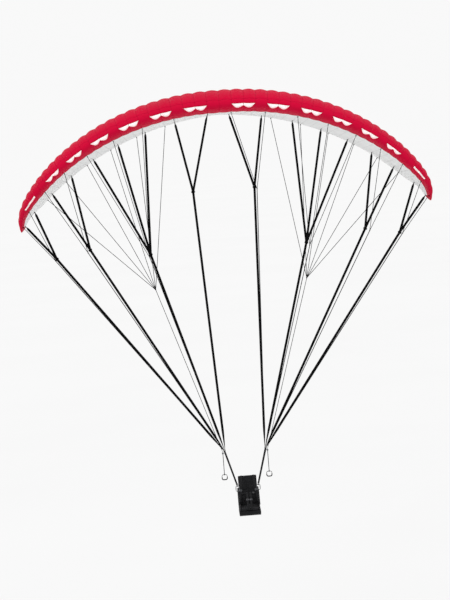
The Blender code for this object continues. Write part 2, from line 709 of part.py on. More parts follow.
def harness():
    pads()
    protector()
    reserve()
    chest_strap()
    for name, way in SIDES.items():
        side_panel(name, way)
        hip_webbing(name, way)
        shoulder_strap(name, way)
        leg_strap(name, way)


def main():
    clear_scene()
    make_collections()
    make_materials()
    canopy()
    for name, way in SIDES.items():
        line_groups(name, way)
        brake_lines(name, way)
        riser(name, way)
        pulley(name, way)
        carabiner(name, way)
        brake(name, way)
    harness()


main()
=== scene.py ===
"""Looks of a paraglider: canopy, lines, risers, brakes and harness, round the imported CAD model.

Metres, +Z up, the leading edge faces -Y and the glider's own left side is +X.
"""
import math

import bmesh
import bpy
import numpy as np
from mathutils import Matrix, Vector
from mathutils.bvhtree import BVHTree


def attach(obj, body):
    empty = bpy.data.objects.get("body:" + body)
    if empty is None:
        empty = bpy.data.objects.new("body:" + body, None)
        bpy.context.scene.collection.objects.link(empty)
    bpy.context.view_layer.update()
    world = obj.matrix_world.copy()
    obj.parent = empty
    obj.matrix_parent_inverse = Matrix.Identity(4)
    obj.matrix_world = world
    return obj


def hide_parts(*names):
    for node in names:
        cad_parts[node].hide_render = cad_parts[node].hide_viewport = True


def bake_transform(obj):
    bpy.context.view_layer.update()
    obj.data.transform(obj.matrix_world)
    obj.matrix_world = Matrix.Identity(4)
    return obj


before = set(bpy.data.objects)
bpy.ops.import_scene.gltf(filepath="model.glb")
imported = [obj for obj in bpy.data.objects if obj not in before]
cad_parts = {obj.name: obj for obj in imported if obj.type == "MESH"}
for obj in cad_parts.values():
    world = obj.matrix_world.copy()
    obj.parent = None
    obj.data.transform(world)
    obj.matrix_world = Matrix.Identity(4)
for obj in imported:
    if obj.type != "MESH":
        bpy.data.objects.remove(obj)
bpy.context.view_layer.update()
SIDES = {"left": 1, "right": -1}
UP = Vector((0, 0, 1))
ACROSS = Vector((1, 0, 0))
AFT = Vector((0, 1, 0))

# Canopy, with the same values as the part's source
ARC_RADIUS_X = 5.19
ARC_RADIUS_Z = 4.61
ARC_END = math.radians(56.0)
TIP_CURL = math.radians(30)
CURL_START = 0.90
CELLS = 24
TIP_CELL_WIDTH = 0.70
ROOT_CHORD = 2.88
CHORD_LOSS = 0.88
CHORD_POWER = 2.2
POINT_LOSS = 0.46
POINT_START = 0.88
STRAIGHT_LINE = 0.50
ORIGIN_SHARE = 1 / 3
WASH_IN = math.radians(3.9)
THICKNESS = 0.159
THICKEST_AT = 0.30
NOSE_HEIGHT = 0.0615
TRAILING_EDGE = 0.0043
TIP_THINNING = 0.19
CELL_SWELL = 0.024
UNDERSIDE_SWELL = 0.010
BAND_REAR = 0.155
BAND_TOP = 0.010
BAND_SPREAD = 0.40
INTAKE_TOP = 0.0004
INTAKE_LIP = 0.030
PAIR_STARTS = (1, 4, 7, 10, 13, 16)
SLOT_START = 20
SLOT_DEPTH = 0.75
TIP_CAP_LENGTH = 0.11
TIP_CAP_LEAN = math.radians(12)
SEAM = 0.0012

# Canopy cloth, with this script's own values; the lengths are shares of the chord
CLOTH = 0.0016
ARC_STEPS = 720
CELL_COLUMNS = 8
BAND_COLUMNS = 16
BAND_FRONT = 0.036
BAND_DEPTH = 1.097
UPPER_LENGTH = 1.03
BAND_LENGTH = 0.2
LOWER_LENGTH = 0.86
CAP_TURNS = 8
CAP_END = 0.16
LINING_DEPTH = 0.055
LINING_WIDTH = 0.16
LINING_CLOTH = 0.0008
HEM_RADIUS = 0.0028

# Lines, with the same values as the part's source, except that the ropes taper in half the length
LINE_ROWS = {"a": (0.18, -0.035, 0.006, 0.008), "b": (0.80, 0.050, 0.025, 0.026)}
CASCADES = [
    (0.66, -1.62, (1, 4)),
    (1.67, -2.88, (7, 10, 13)),
    (2.95, -2.68, (16, 19)),
    (3.66, -2.81, (22, 24)),
]
BRAKE_RIBS = (5, 8, 11, 14, 17, 20)
BRAKE_CHORD = 0.975
BRAKE_KNOT_SHARE = 0.45
BRAKE_RADIUS = 0.006
TIP_TAPER = 0.07
LINK_TAPER = 0.42
LINK_SPACING = 0.012

# Ends of the ropes and their eyes, with this script's own values
TIP_STEPS = 6
LINE_TIP = 0.0025
BRAKE_TIP = 0.004
LINE_END_GAP = 0.018
BRAKE_END_GAP = 0.014
EYE_RING = 0.009
EYE_ROD = 0.0024

# Risers, carabiners and brakes
RISER_X = 0.44
RISER_TOP = -7.083
RISER_WIDTH = 0.036
LINK_HEIGHT = 0.016
LOOP_RADIUS = 0.0105
LOOP_FOOT = 0.0126
LOOP_HALF_THICKNESS = 0.0028
HANG_X = 0.222
HANG_Z = -7.87
CARABINER_HEIGHT = 0.11
CARABINER_HALF_WIDTH = 0.034
CARABINER_ROD = 0.0060
STRAP_SQUARENESS = 0.35
PULLEY_X = 0.475
PULLEY_Z = -7.155
PULLEY_RADIUS = 0.020
HANDLE_TOP = -7.60
HANDLE_HALF_WIDTH = 0.055
HANDLE_HEIGHT = 0.13
HANDLE_TUBE = 0.011
CORD_RADIUS = 0.0068

# Harness
HARNESS_Y = -0.095
SEAT_Z = -8.28
SEAT_FRONT = -0.30
SEAT_REAR = 0.13
PAD_THICKNESS = 0.05
PAD_HALF_WIDTH = 0.20
BACK_LEAN = math.radians(11.0)
BACK_LENGTH = 0.66
LEAN_UP = Vector((0, math.sin(BACK_LEAN), math.cos(BACK_LEAN)))
LEAN_BACK = Vector((0, math.cos(BACK_LEAN), -math.sin(BACK_LEAN)))
CHEST_CENTRE = Vector((0, -0.0705, -8.005))
CHEST_DOWN = Vector((0, -0.26, -0.966)).normalized()
CHEST_OUT = Vector((0, -0.966, 0.26)).normalized()
HARNESS_SHIFT = Vector((0, HARNESS_Y, 0))
PUFF_FRAMES = 20
PUFF_PRESSURE = 25.0
PIPING_RADIUS = 0.0034
THIN_PIPING_RADIUS = 0.0022
PIPING_STEP = 0.012
PIN_REACH = 0.010
SEAM_DEPTH = 0.004
SEAM_REACH = 0.006
SEAM_INSET = 0.004
STRAP_THICKNESS = 0.0055
PROTECTOR_HALF_WIDTH = 0.226
PACK_HALF_WIDTH = 0.166

# Camera
CAMERA_TARGET = Vector((-0.177, 0, -3.903))
CAMERA_DISTANCE = 40.0
CAMERA_AZIMUTH = math.radians(0.94)
CAMERA_ELEVATION = math.radians(5.0)
CAMERA_ROLL = math.radians(4.47)
CAMERA_LENS = 114.24
SENSOR = 36.0
FLOOR_Z = -18.0
FLOOR_RADIUS = 1400
STUDIO_WHITE = (0.945, 0.945, 0.945)


# Finishes

class Value:
    """What a node puts out, so that sums on it are written as Python expressions."""

    def __init__(self, finish, socket):
        self.finish = finish
        self.socket = socket

    def __add__(self, other):
        return maths("ADD", self, other)

    def __sub__(self, other):
        return maths("SUBTRACT", self, other)

    def __rsub__(self, other):
        return maths("SUBTRACT", other, self)

    def __mul__(self, other):
        return maths("MULTIPLY", self, other)

    def __truediv__(self, other):
        return maths("DIVIDE", self, other)

    __radd__ = __add__
    __rmul__ = __mul__


def maths(operation, *terms):
    """A Math node on outputs and plain numbers."""
    finish = next(term.finish for term in terms if isinstance(term, Value))
    return finish.node("ShaderNodeMath", dict(enumerate(terms)), operation=operation)


def sine(term):
    return maths("SINE", term)


def size_of(term):
    return maths("ABSOLUTE", term)


def part_of(term):
    return maths("FRACT", term)


def below(term, limit):
    return maths("LESS_THAN", term, limit)


def larger(first, second):
    return maths("MAXIMUM", first, second)


class Finish:
    """A material: a base colour, roughness and metal, and the pattern that its nodes give it."""

    def __init__(self, name, colour, roughness, metallic=0.0, **constants):
        self.material = bpy.data.materials.new(name)
        self.material.use_nodes = True
        self.nodes = self.material.node_tree.nodes
        self.links = self.material.node_tree.links
        self.shader = self.nodes["Principled BSDF"]
        self.colour = (*colour, 1)
        self.feed("Base Color", self.colour)
        self.feed("Roughness", roughness)
        self.feed("Metallic", metallic)
        for socket, amount in constants.items():
            self.feed(socket.replace("_", " "), amount)

    def node(self, kind, sockets=(), output=0, **settings):
        """Any node: its settings first, then a value or a link for each socket named or numbered."""
        made = self.nodes.new(kind)
        for setting, choice in settings.items():
            setattr(made, setting, choice)
        for socket, amount in dict(sockets).items():
            if isinstance(amount, Value):
                self.links.new(amount.socket, made.inputs[socket])
            else:
                made.inputs[socket].default_value = amount
        return Value(self, made.outputs[output])

    def feed(self, socket, amount):
        if isinstance(amount, Value):
            self.links.new(amount.socket, self.shader.inputs[socket])
        else:
            self.shader.inputs[socket].default_value = amount

    def place(self):
        return self.node("ShaderNodeTexCoord", output="Object")

    def axes(self, vector):
        split = self.node("ShaderNodeSeparateXYZ", {0: vector})
        return [Value(self, socket) for socket in split.socket.node.outputs]

    def attribute(self, name):
        """A number kept on the mesh's points."""
        return self.node("ShaderNodeAttribute", output="Fac", attribute_name=name)

    def vector(self, x, y, z):
        return self.node("ShaderNodeCombineXYZ", {0: x, 1: y, 2: z})

    def noise(self, vector, scale, detail=2.0):
        return self.node("ShaderNodeTexNoise", {"Vector": vector, "Scale": scale, "Detail": detail})

    def mix(self, factor, first, second):
        return self.node("ShaderNodeMix", {0: factor, 6: first, 7: second}, output=2, data_type="RGBA")

    def shades(self, factor, low, high):
        """The base colour times low where factor is 0, and times high where it is 1."""
        dark = (*(channel * low for channel in self.colour[:3]), 1)
        light = (*(min(1, channel * high) for channel in self.colour[:3]), 1)
        return self.mix(factor, dark, light)

    def raise_by(self, height, distance):
        """A bump of a height from 0 to 1 and a true distance in metres."""
        bump = self.node("ShaderNodeBump", {"Strength": 1.0, "Distance": distance, "Height": height})
        self.feed("Normal", bump)


def canopy_cloth(name, colour, crossings=()):
    """Coated ripstop: sewn ribs with puckers beside them, a fine grid of thicker yarn, and spanwise seams."""
    finish = Finish(name, colour, 0.6, Specular_IOR_Level=0.04)
    rib = finish.attribute("rib")
    run = finish.attribute("run")
    share = finish.attribute("share")
    beside = size_of(part_of(rib + 0.5) - 0.5) * 0.2
    seam = below(beside, 0.006)
    for crossing in crossings:
        seam = larger(seam, below(size_of(share - crossing) * 2.6, 0.006))
    stitch = below(size_of(beside - 0.0035), 0.0007) * below(part_of(run / 0.006), 0.62)
    grid = larger(below(part_of(run / 0.008), 0.1), below(part_of(rib * 25.0), 0.1))
    near = maths("POWER", 2.718, beside * -34.0)
    pucker = finish.noise(finish.vector(rib * 1.2, run * 14.0, 0.0), 1.0, 1.0) * near
    cloud = finish.noise(finish.place(), 1.1, 3.0)
    worn = finish.noise(finish.place(), 26.0, 2.0)
    tone = cloud * 0.6 + worn * 0.25 + 0.08 - seam * 0.28 - stitch * 0.3 + grid * 0.05
    finish.feed("Base Color", finish.shades(tone, 0.80, 1.14))
    finish.feed("Roughness", 0.50 + cloud * 0.14 + seam * 0.1)
    finish.raise_by(pucker * 0.9 + seam * 0.10 - stitch * 0.06 + grid * 0.015, 0.009)
    return finish.material


def lining_cloth():
    """White uncoated cloth of the ribs and the inside of the cells, with a painted glow: its emission stands
    in for light through the skins in flight and brightens the shaded recess behind the intakes.
    """
    # Emission_Strength is painted light: this cloth glows though it is no lamp, which lifts the shade behind
    # the intakes.
    finish = Finish("white_lining", (0.86, 0.86, 0.85), 0.7, Emission_Strength=0.50)
    x, _, z = finish.axes(finish.place())
    weave = sine(x * 900.0) * sine(z * 900.0)
    cloud = finish.noise(finish.place(), 9.0, 2.0)
    finish.feed("Base Color", finish.shades(cloud, 0.93, 1.06))
    # Emission Color is the tint of that painted glow.
    finish.feed("Emission Color", (1.0, 0.99, 0.98, 1))
    finish.raise_by(weave * 0.5 + cloud, 0.001)
    return finish.material


def braided_sheath(name, colour, strands, pitch):
    """A braid: strands cross in diamonds round the line."""
    finish = Finish(name, colour, 0.8, Specular_IOR_Level=0.05)
    along = finish.attribute("along")
    turn = maths("ARCTAN2", finish.attribute("side_y"), finish.attribute("side_x"))
    one = sine(turn * float(strands) + along * (math.tau / pitch))
    other = sine(turn * float(strands) - along * (math.tau / pitch))
    plait = larger(one, other)
    fuzz = finish.noise(finish.place(), 400.0, 2.0)
    finish.feed("Base Color", finish.shades(plait * 0.4 + fuzz * 0.5, 0.4, 1.5))
    finish.feed("Roughness", 0.72 + fuzz * 0.2)
    finish.raise_by(plait * 0.8 + fuzz * 0.2, 0.0012)
    return finish.material


def woven_webbing(name, colour):
    """Flat webbing: herringbone yarn, firmer edges and a worn face."""
    finish = Finish(name, colour, 0.6, Sheen_Weight=0.03, Specular_IOR_Level=0.10)
    along = finish.attribute("along")
    side = finish.attribute("side_x")
    bent = size_of(part_of(side * 1.5) - 0.5) * 0.012
    yarn = sine((along + bent) * (math.tau / 0.0035))
    ridge = sine(side * 22.0)
    edge = maths("SMOOTH_MIN", (size_of(side) - 0.86) * 12.0, 1.0, 0.1)
    fuzz = finish.noise(finish.place(), 160.0, 3.0)
    wear = finish.noise(finish.place(), 14.0, 3.0)
    tone = yarn * 0.16 + ridge * 0.1 + fuzz * 0.35 + wear * 0.3 + larger(edge, 0.0) * 0.15
    finish.feed("Base Color", finish.shades(tone, 0.55, 2.1))
    finish.feed("Roughness", 0.48 + fuzz * 0.3)
    finish.raise_by(yarn * 0.5 + ridge * 0.4 + fuzz * 0.3, 0.0007)
    return finish.material


def pack_cloth(name, colour, pitch=0.0022, rough=0.62):
    """Heavy plain-woven cloth over foam, with dusty high places."""
    finish = Finish(name, colour, rough, Sheen_Weight=0.02, Specular_IOR_Level=0.10)
    x, y, z = finish.axes(finish.place())
    k = math.tau / pitch
    weave = sine(x * k) * sine(z * k) + sine(x * k) * sine(y * k) + sine(y * k) * sine(z * k)
    dust = finish.noise(finish.place(), 7.0, 4.0)
    crease = finish.noise(finish.place(), 22.0, 3.0)
    finish.feed("Base Color", finish.shades(dust * 0.7 + weave * 0.12 + 0.1, 0.55, 1.9))
    finish.feed("Roughness", (rough - 0.12) + dust * 0.25)
    finish.raise_by(weave * 0.06 + crease * 0.8, 0.004)
    return finish.material


def spacer_mesh(name, colour):
    """Open knitted mesh over the seat pad and the back pad."""
    finish = Finish(name, colour, 0.8, Sheen_Weight=0.03, Specular_IOR_Level=0.10)
    x, y, z = finish.axes(finish.place())
    k = math.tau / 0.006
    holes = maths("POWER", size_of(sine(x * k) * sine(z * k + y * k)), 0.6)
    dust = finish.noise(finish.place(), 9.0, 3.0)
    finish.feed("Base Color", finish.shades(holes * 0.7 + dust * 0.3, 0.4, 2.2))
    finish.raise_by(holes, 0.0014)
    return finish.material


def metal(name, colour, roughness):
    """Turned and tumbled metal with fine scratches and handling marks."""
    finish = Finish(name, colour, roughness, 1.0)
    x, y, z = finish.axes(finish.place())
    marks = finish.noise(finish.vector(x * 40.0, y * 40.0, z * 900.0), 1.0, 2.0)
    smudge = finish.noise(finish.place(), 60.0, 3.0)
    finish.feed("Base Color", finish.shades(smudge, 0.82, 1.12))
    finish.feed("Roughness", (roughness - 0.1) + marks * 0.12 + smudge * 0.12)
    finish.raise_by(marks, 0.0001)
    return finish.material


def moulded(name, colour):
    """Moulded plastic with a fine grain."""
    finish = Finish(name, colour, 0.45)
    grain = finish.noise(finish.place(), 1500.0, 2.0)
    wear = finish.noise(finish.place(), 50.0, 3.0)
    finish.feed("Base Color", finish.shades(wear, 0.75, 1.35))
    finish.feed("Roughness", 0.35 + wear * 0.2)
    finish.raise_by(grain, 0.0002)
    return finish.material


def floor_paint():
    finish = Finish("pale_floor", (0.80, 0.80, 0.80), 1.0, Specular_IOR_Level=0.0)
    cloud = finish.noise(finish.place(), 0.08, 2.0)
    finish.feed("Base Color", finish.shades(cloud, 0.985, 1.015))
    return finish.material


RED = (0.560, 0.0015, 0.034)
GREY = (0.865, 0.87, 0.867)
BLACK = (0.003, 0.003, 0.0033)

red_cloth = canopy_cloth("canopy_red", RED, (0.16, 0.36, 0.62, 0.90))
band_cloth = canopy_cloth("intake_red", RED)
grey_cloth = canopy_cloth("canopy_grey", GREY, (0.34, 0.62, 0.90))
white_cloth = lining_cloth()
line_braid = braided_sheath("line_black", BLACK, 6, 0.022)
cord_braid = braided_sheath("brake_cord_black", BLACK, 4, 0.012)
black_webbing = woven_webbing("webbing_black", (0.009, 0.009, 0.010))
grey_webbing = woven_webbing("webbing_grey", (0.10, 0.10, 0.105))
red_webbing = woven_webbing("webbing_red", (0.50, 0.010, 0.025))
harness_cloth = pack_cloth("harness_black", (0.006, 0.006, 0.007))
panel_cloth = pack_cloth("panel_black", (0.009, 0.009, 0.010), 0.003, 0.55)
back_mesh = spacer_mesh("back_mesh", (0.010, 0.010, 0.011))
piping_cloth = pack_cloth("piping_grey", (0.035, 0.035, 0.038), 0.0015)
alloy = metal("alloy", (0.16, 0.165, 0.175), 0.34)
steel = metal("steel", (0.20, 0.20, 0.20), 0.28)
dark_plastic = moulded("dark_plastic", (0.02, 0.02, 0.021))


# Shared ways of making pieces

def finished(name, bm, material, body, nodes=(), sharp=35.0):
    """Turns a bmesh into a piece that rides on a body and may stand for CAD nodes."""
    mesh = bpy.data.meshes.new(name)
    bm.to_mesh(mesh)
    bm.free()
    mesh.materials.append(material)
    mesh.shade_smooth()
    mesh.set_sharp_from_angle(angle=math.radians(sharp))
    piece = bpy.data.objects.new(name, mesh)
    bpy.context.scene.collection.objects.link(piece)
    if body:
        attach(piece, body)
    if nodes:
        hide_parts(*nodes)
    return piece


def axes_at(origin, along, across):
    """Matrix whose Z follows along and whose X is nearest to across."""
    along = along.normalized()
    second = along.cross(across).normalized()
    return Matrix.Translation(origin) @ Matrix((second.cross(along), second, along)).transposed().to_4x4()


def number_layer(bm, key):
    """The layer that keeps a number on each point, made when it is first asked for."""
    return bm.verts.layers.float.get(key) or bm.verts.layers.float.new(key)


def superround(value, power):
    return math.copysign(abs(value) ** power, value)


def sweep(bm, path, sizes, across=ACROSS, sides=12, power=1.0, closed=False):
    """Draws a section along a path; sizes are half width and half thickness, one pair or a pair per point.

    A power under 1 squares the section's corners. The points keep how far along and where round they are.
    """
    layers = [number_layer(bm, key) for key in ("along", "side_x", "side_y")]
    count = len(path)
    if not isinstance(sizes, list):
        sizes = [sizes] * count
    if not isinstance(across, list):
        across = [across] * count
    rings = []
    along = 0.0
    for index, point in enumerate(path):
        if closed:
            before, after = path[index - 1], path[(index + 1) % count]
        else:
            before, after = path[max(0, index - 1)], path[min(count - 1, index + 1)]
        if index:
            along += (point - path[index - 1]).length
        base = axes_at(point, after - before, across[index])
        ring = bmesh.ops.create_circle(bm, segments=sides, radius=1)["verts"]
        for vert in ring:
            c, s = vert.co.x, vert.co.y
            x, y = superround(c, power), superround(s, power)
            vert.co = base @ Vector((x * sizes[index][0], y * sizes[index][1], 0))
            for layer, amount in zip(layers, (along, x, y)):
                vert[layer] = amount
        rings.append(ring)
    pairs = list(zip(rings, rings[1:]))
    if closed:
        pairs.append((rings[-1], rings[0]))
    for low, high in pairs:
        for step in range(sides):
            follow = (step + 1) % sides
            bm.faces.new((low[step], low[follow], high[follow], high[step]))
    if not closed:
        bm.faces.new(list(reversed(rings[0])))
        bm.faces.new(rings[-1])


def tidy(bm):
    """The same mesh with every face pointing outwards."""
    bmesh.ops.recalc_face_normals(bm, faces=bm.faces)
    return bm


def wall(piece, thickness=CLOTH, offset=-1):
    """Gives a sheet its thickness, inwards from its face or to both sides of it."""
    made = piece.modifiers.new("wall", "SOLIDIFY")
    made.thickness = thickness
    made.offset = offset


def straight(start, end, steps):
    """Evenly spaced points of a straight run."""
    return [start + (end - start) * step / steps for step in range(steps + 1)]


def smooth_path(knots, steps=6, closed=False):
    """A round path through a few points."""
    points = [Vector(knot) for knot in knots]
    if closed:
        ends = [points[-1]] + points + points[:2]
    else:
        ends = [2 * points[0] - points[1]] + points + [2 * points[-1] - points[-2]]
    path = []
    for before, here, there, after in zip(ends, ends[1:], ends[2:], ends[3:]):
        for step in range(steps):
            t = step / steps
            bend = (2 * before - 5 * here + 4 * there - after) * t * t
            path.append(0.5 * (2 * here + (there - before) * t + bend
                               + (3 * here - before - 3 * there + after) * t ** 3))
    if not closed:
        path.append(points[-1])
    return path


def ease(bm, verts, width):
    """Bevels the sharp edges between some points, in the same order each run."""
    edges = [edge for edge in dict.fromkeys(edge for vert in verts for edge in vert.link_edges)
             if edge.calc_face_angle(0) > 1]
    bmesh.ops.bevel(bm, geom=edges, offset=width, offset_type="OFFSET", segments=2, profile=0.5,
                    affect="EDGES", material=-1)


def drum(bm, centre, axis, radius, length, sides=24, bevel=0.0):
    """A turned disc or barrel with eased edges."""
    made = bmesh.ops.create_cone(bm, cap_ends=True, segments=sides, radius1=radius, radius2=radius,
                                 depth=length, matrix=axes_at(centre, axis, axis.orthogonal()))["verts"]
    if bevel:
        ease(bm, made, bevel)


def brick(bm, base, size, bevel):
    """A box with eased edges in the axes of a matrix."""
    ease(bm, bmesh.ops.create_cube(bm, size=1, matrix=base @ Matrix.Diagonal((*size, 1)))["verts"], bevel)


def mean_of(points):
    return sum(points, Vector()) / len(points)


def ring_path(centre, first, second, steps):
    """A full turn round a centre, from two half axes."""
    turns = [math.tau * step / steps for step in range(steps)]
    return [centre + first * math.cos(turn) + second * math.sin(turn) for turn in turns]


# Canopy surface

def arc_table():
    """The underside from the middle to a tip, seen from the front: shares of its length, places, headings."""
    angles = np.linspace(0, ARC_END, ARC_STEPS + 1)
    lengths = np.hypot(np.diff(ARC_RADIUS_X * np.sin(angles)), np.diff(ARC_RADIUS_Z * np.cos(angles)))
    shares = np.concatenate(([0.0], np.cumsum(lengths))) / lengths.sum()
    headings = np.arctan2(ARC_RADIUS_Z * np.sin(angles), ARC_RADIUS_X * np.cos(angles))
    headings += TIP_CURL * np.clip((shares - CURL_START) / (1 - CURL_START), 0, 1) ** 2
    middles = (headings[1:] + headings[:-1]) / 2
    across = np.concatenate(([0.0], np.cumsum(lengths * np.cos(middles))))
    down = np.concatenate(([0.0], np.cumsum(lengths * np.sin(middles))))
    return shares, across, down, headings, float(lengths.sum())


ARC_SHARES, ARC_ACROSS, ARC_DOWN, ARC_HEADINGS, HALF_SPAN = arc_table()
CELL_WIDTHS = [1 - (1 - TIP_CELL_WIDTH) * k / (CELLS - 1) for k in range(CELLS)]
RIB_SHARES = [sum(CELL_WIDTHS[:k]) / sum(CELL_WIDTHS) for k in range(CELLS + 1)]


def half_thickness(x):
    return 5 * THICKNESS * (0.2969 * math.sqrt(x) - 0.126 * x - 0.3516 * x ** 2
                            + 0.2843 * x ** 3 - 0.1036 * x ** 4)


def section_height(x, side):
    """Height above the flat underside, in chords: a raised nose in front, a flat bottom behind."""
    if x >= THICKEST_AT:
        middle = half_thickness(x)
    else:
        rise = math.sin(math.pi / 2 * x / THICKEST_AT)
        middle = NOSE_HEIGHT + (half_thickness(THICKEST_AT) - NOSE_HEIGHT) * rise
    return middle + side * half_thickness(x)


def share_at(rib):
    return float(np.interp(abs(rib), range(CELLS + 1), RIB_SHARES))


def pointing(rib):
    """How the tips narrow to a point: 1 on most of the canopy, less towards its ends."""
    return 1 - POINT_LOSS * max(0.0, (share_at(rib) - POINT_START) / (1 - POINT_START)) ** 2


def chord_at(rib):
    return ROOT_CHORD * math.sqrt(1 - CHORD_LOSS * share_at(rib) ** CHORD_POWER) * pointing(rib)


def swell(rib, x, side):
    """Bulge of a cell between its two ribs, fading to nothing at the trailing edge."""
    across = math.sin(math.pi * (abs(rib) % 1.0))
    along = math.sin(math.pi * min(1.0, 0.18 + 0.82 * x ** 0.6))
    return (CELL_SWELL if side > 0 else UNDERSIDE_SWELL) * across * along * pointing(rib) ** 2


def canopy_point(rib, x, side):
    """Outer surface: rib counts cell edges from the middle, x is a share of the chord, side +1 is the top."""
    share = share_at(rib)
    way = math.copysign(1, rib)
    heading = way * float(np.interp(share, ARC_SHARES, ARC_HEADINGS))
    chord = chord_at(rib)
    normal = Vector((math.sin(heading), 0, math.cos(heading)))
    thinning = 1 - TIP_THINNING * share ** 12
    height = section_height(x, side) * thinning * chord + side * TRAILING_EDGE * x * max(chord, 1.0)
    height += side * swell(rib, x, side)
    back = (x - STRAIGHT_LINE) * chord
    tilt = WASH_IN * (1 - (1 - share) ** 2)
    lift = height * math.cos(tilt) - back * math.sin(tilt)
    aft = back * math.cos(tilt) + height * math.sin(tilt)
    foot = Vector((way * float(np.interp(share, ARC_SHARES, ARC_ACROSS)), 0,
                   -float(np.interp(share, ARC_SHARES, ARC_DOWN))))
    foot += normal * THICKNESS * thinning * chord * (1 / pointing(rib) - 1)
    return foot + normal * lift + Vector((0, aft + (STRAIGHT_LINE - ORIGIN_SHARE) * ROOT_CHORD, 0))


def at(x, side, inset=0.0):
    """A row at one share of the chord, moved rearwards by a true distance, or by more at the tips."""
    return lambda rib: (x + inset / (chord_at(rib) * pointing(rib)), side)


def rows_between(start, end, count, side):
    """Rows that crowd towards the nose."""
    low, high = math.sqrt(start), math.sqrt(end)
    return [at((low + (high - low) * step / count) ** 2, side) for step in range(1, count)]


def band_rear(rib):
    """Share of the chord at the red band's rear seam, which runs back near the tips."""
    return BAND_REAR + BAND_SPREAD * (1 - pointing(rib)) / POINT_LOSS


def under(share, inset=0.0):
    """A row on the underside, at a share of the way from the band's rear seam to the trailing edge."""
    def row(rib):
        rear = band_rear(rib)
        return rear + share * (1 - rear) + inset / (chord_at(rib) * pointing(rib)), -1
    return row


def cell_is_open(rib):
    cell = int(abs(rib))
    return any(start <= cell <= start + 1 for start in (*PAIR_STARTS, SLOT_START))


def intake_depth(rib):
    """How deep an intake hangs below its straight top edge: two round lobes to a pair of cells, or a slot."""
    if SLOT_START <= abs(rib) <= SLOT_START + 2:
        return SLOT_DEPTH
    from_pair = min(abs(abs(rib) - start - 1) for start in PAIR_STARTS)
    edge = 0.5 if from_pair < 0.5 else 0.06
    return edge + (1 - edge) * math.sin(math.pi * min(from_pair, 1.0))


def intake_row(share=1.0):
    """The lobed lower edge of the intakes, or a share of the way to it from the front of the band."""
    def row(rib):
        depth = BAND_DEPTH + (intake_depth(rib) - BAND_DEPTH) * share
        return INTAKE_TOP + (INTAKE_LIP - INTAKE_TOP) * depth ** 2, -1
    return row


def skin(name, material, rows, columns, node, is_open=None):
    """A sheet of the canopy through rows of (x, side), with so many columns of faces to a cell."""
    bm = bmesh.new()
    layers = [number_layer(bm, key) for key in ("rib", "share", "run")]
    bmesh.ops.create_grid(bm, x_segments=2 * CELLS * columns, y_segments=len(rows) - 1, size=1)
    middle = [canopy_point(0.5, *row(0.5)) for row in rows]
    runs = [0.0]
    for before, after in zip(middle, middle[1:]):
        runs.append(runs[-1] + (after - before).length)

    def rib_of(value):
        return CELLS * value

    def row_of(value):
        return (value + 1) / 2 * (len(rows) - 1)

    if is_open:
        holes = [face for face in bm.faces
                 if is_open(rib_of(face.calc_center_median().x), row_of(face.calc_center_median().y))]
        bmesh.ops.delete(bm, geom=holes, context="FACES")
    for vert in bm.verts:
        rib = round(rib_of(vert.co.x) * columns) / columns
        row = round(row_of(vert.co.y))
        x, side = rows[row](rib)
        vert.co = canopy_point(rib, x, side)
        for layer, amount in zip(layers, (rib, x, runs[row] * chord_at(rib) / ROOT_CHORD)):
            vert[layer] = amount
    piece = finished(name, bm, material, "wing", [node], sharp=60)
    wall(piece)
    return piece


def band_row(share):
    """A row of the band, at a share of the way from its rear seam to its front under the nose."""
    return lambda rib: (band_rear(rib) + (BAND_FRONT - band_rear(rib)) * share, -1)


def cloth_area(length):
    """Flat area of the panels over a share of every chord."""
    widths = [width / sum(CELL_WIDTHS) * HALF_SPAN for width in CELL_WIDTHS]
    return 2 * length * sum(width * chord_at(k + 0.5) for k, width in enumerate(widths))


def canopy():
    """The canopy's three sheets and two tips; the band is open in front of the intakes' lobed row."""
    upper = skin("upper_cloth", red_cloth,
                 [at(BAND_TOP, 1, SEAM)] + rows_between(BAND_TOP, 1.0, 40, 1) + [at(1.0, 1), at(1.0, -1)],
                 CELL_COLUMNS, "upper_skin")
    cloth_area(UPPER_LENGTH)
    rows = [band_row(step / 8) for step in range(8)] + [intake_row(step / 4) for step in range(5)]
    lip = len(rows) - 1
    rows += [at(INTAKE_TOP, -1), at(0.0, 1), at(0.0012, 1), at(0.005, 1), at(BAND_TOP, 1)]
    band = skin("intake_cloth", band_cloth, rows, BAND_COLUMNS, "intake_band",
                is_open=lambda rib, row: cell_is_open(rib) and lip < row < lip + 1)
    cloth_area(BAND_LENGTH)
    lower = skin("lower_cloth", grey_cloth,
                 [under(1.0, -0.004)] + [under(1 - step / 30) for step in range(1, 30)] + [under(0.0, SEAM)],
                 CELL_COLUMNS, "lower_skin")
    cloth_area(LOWER_LENGTH)
    for name, way in SIDES.items():
        wingtip(name, way)


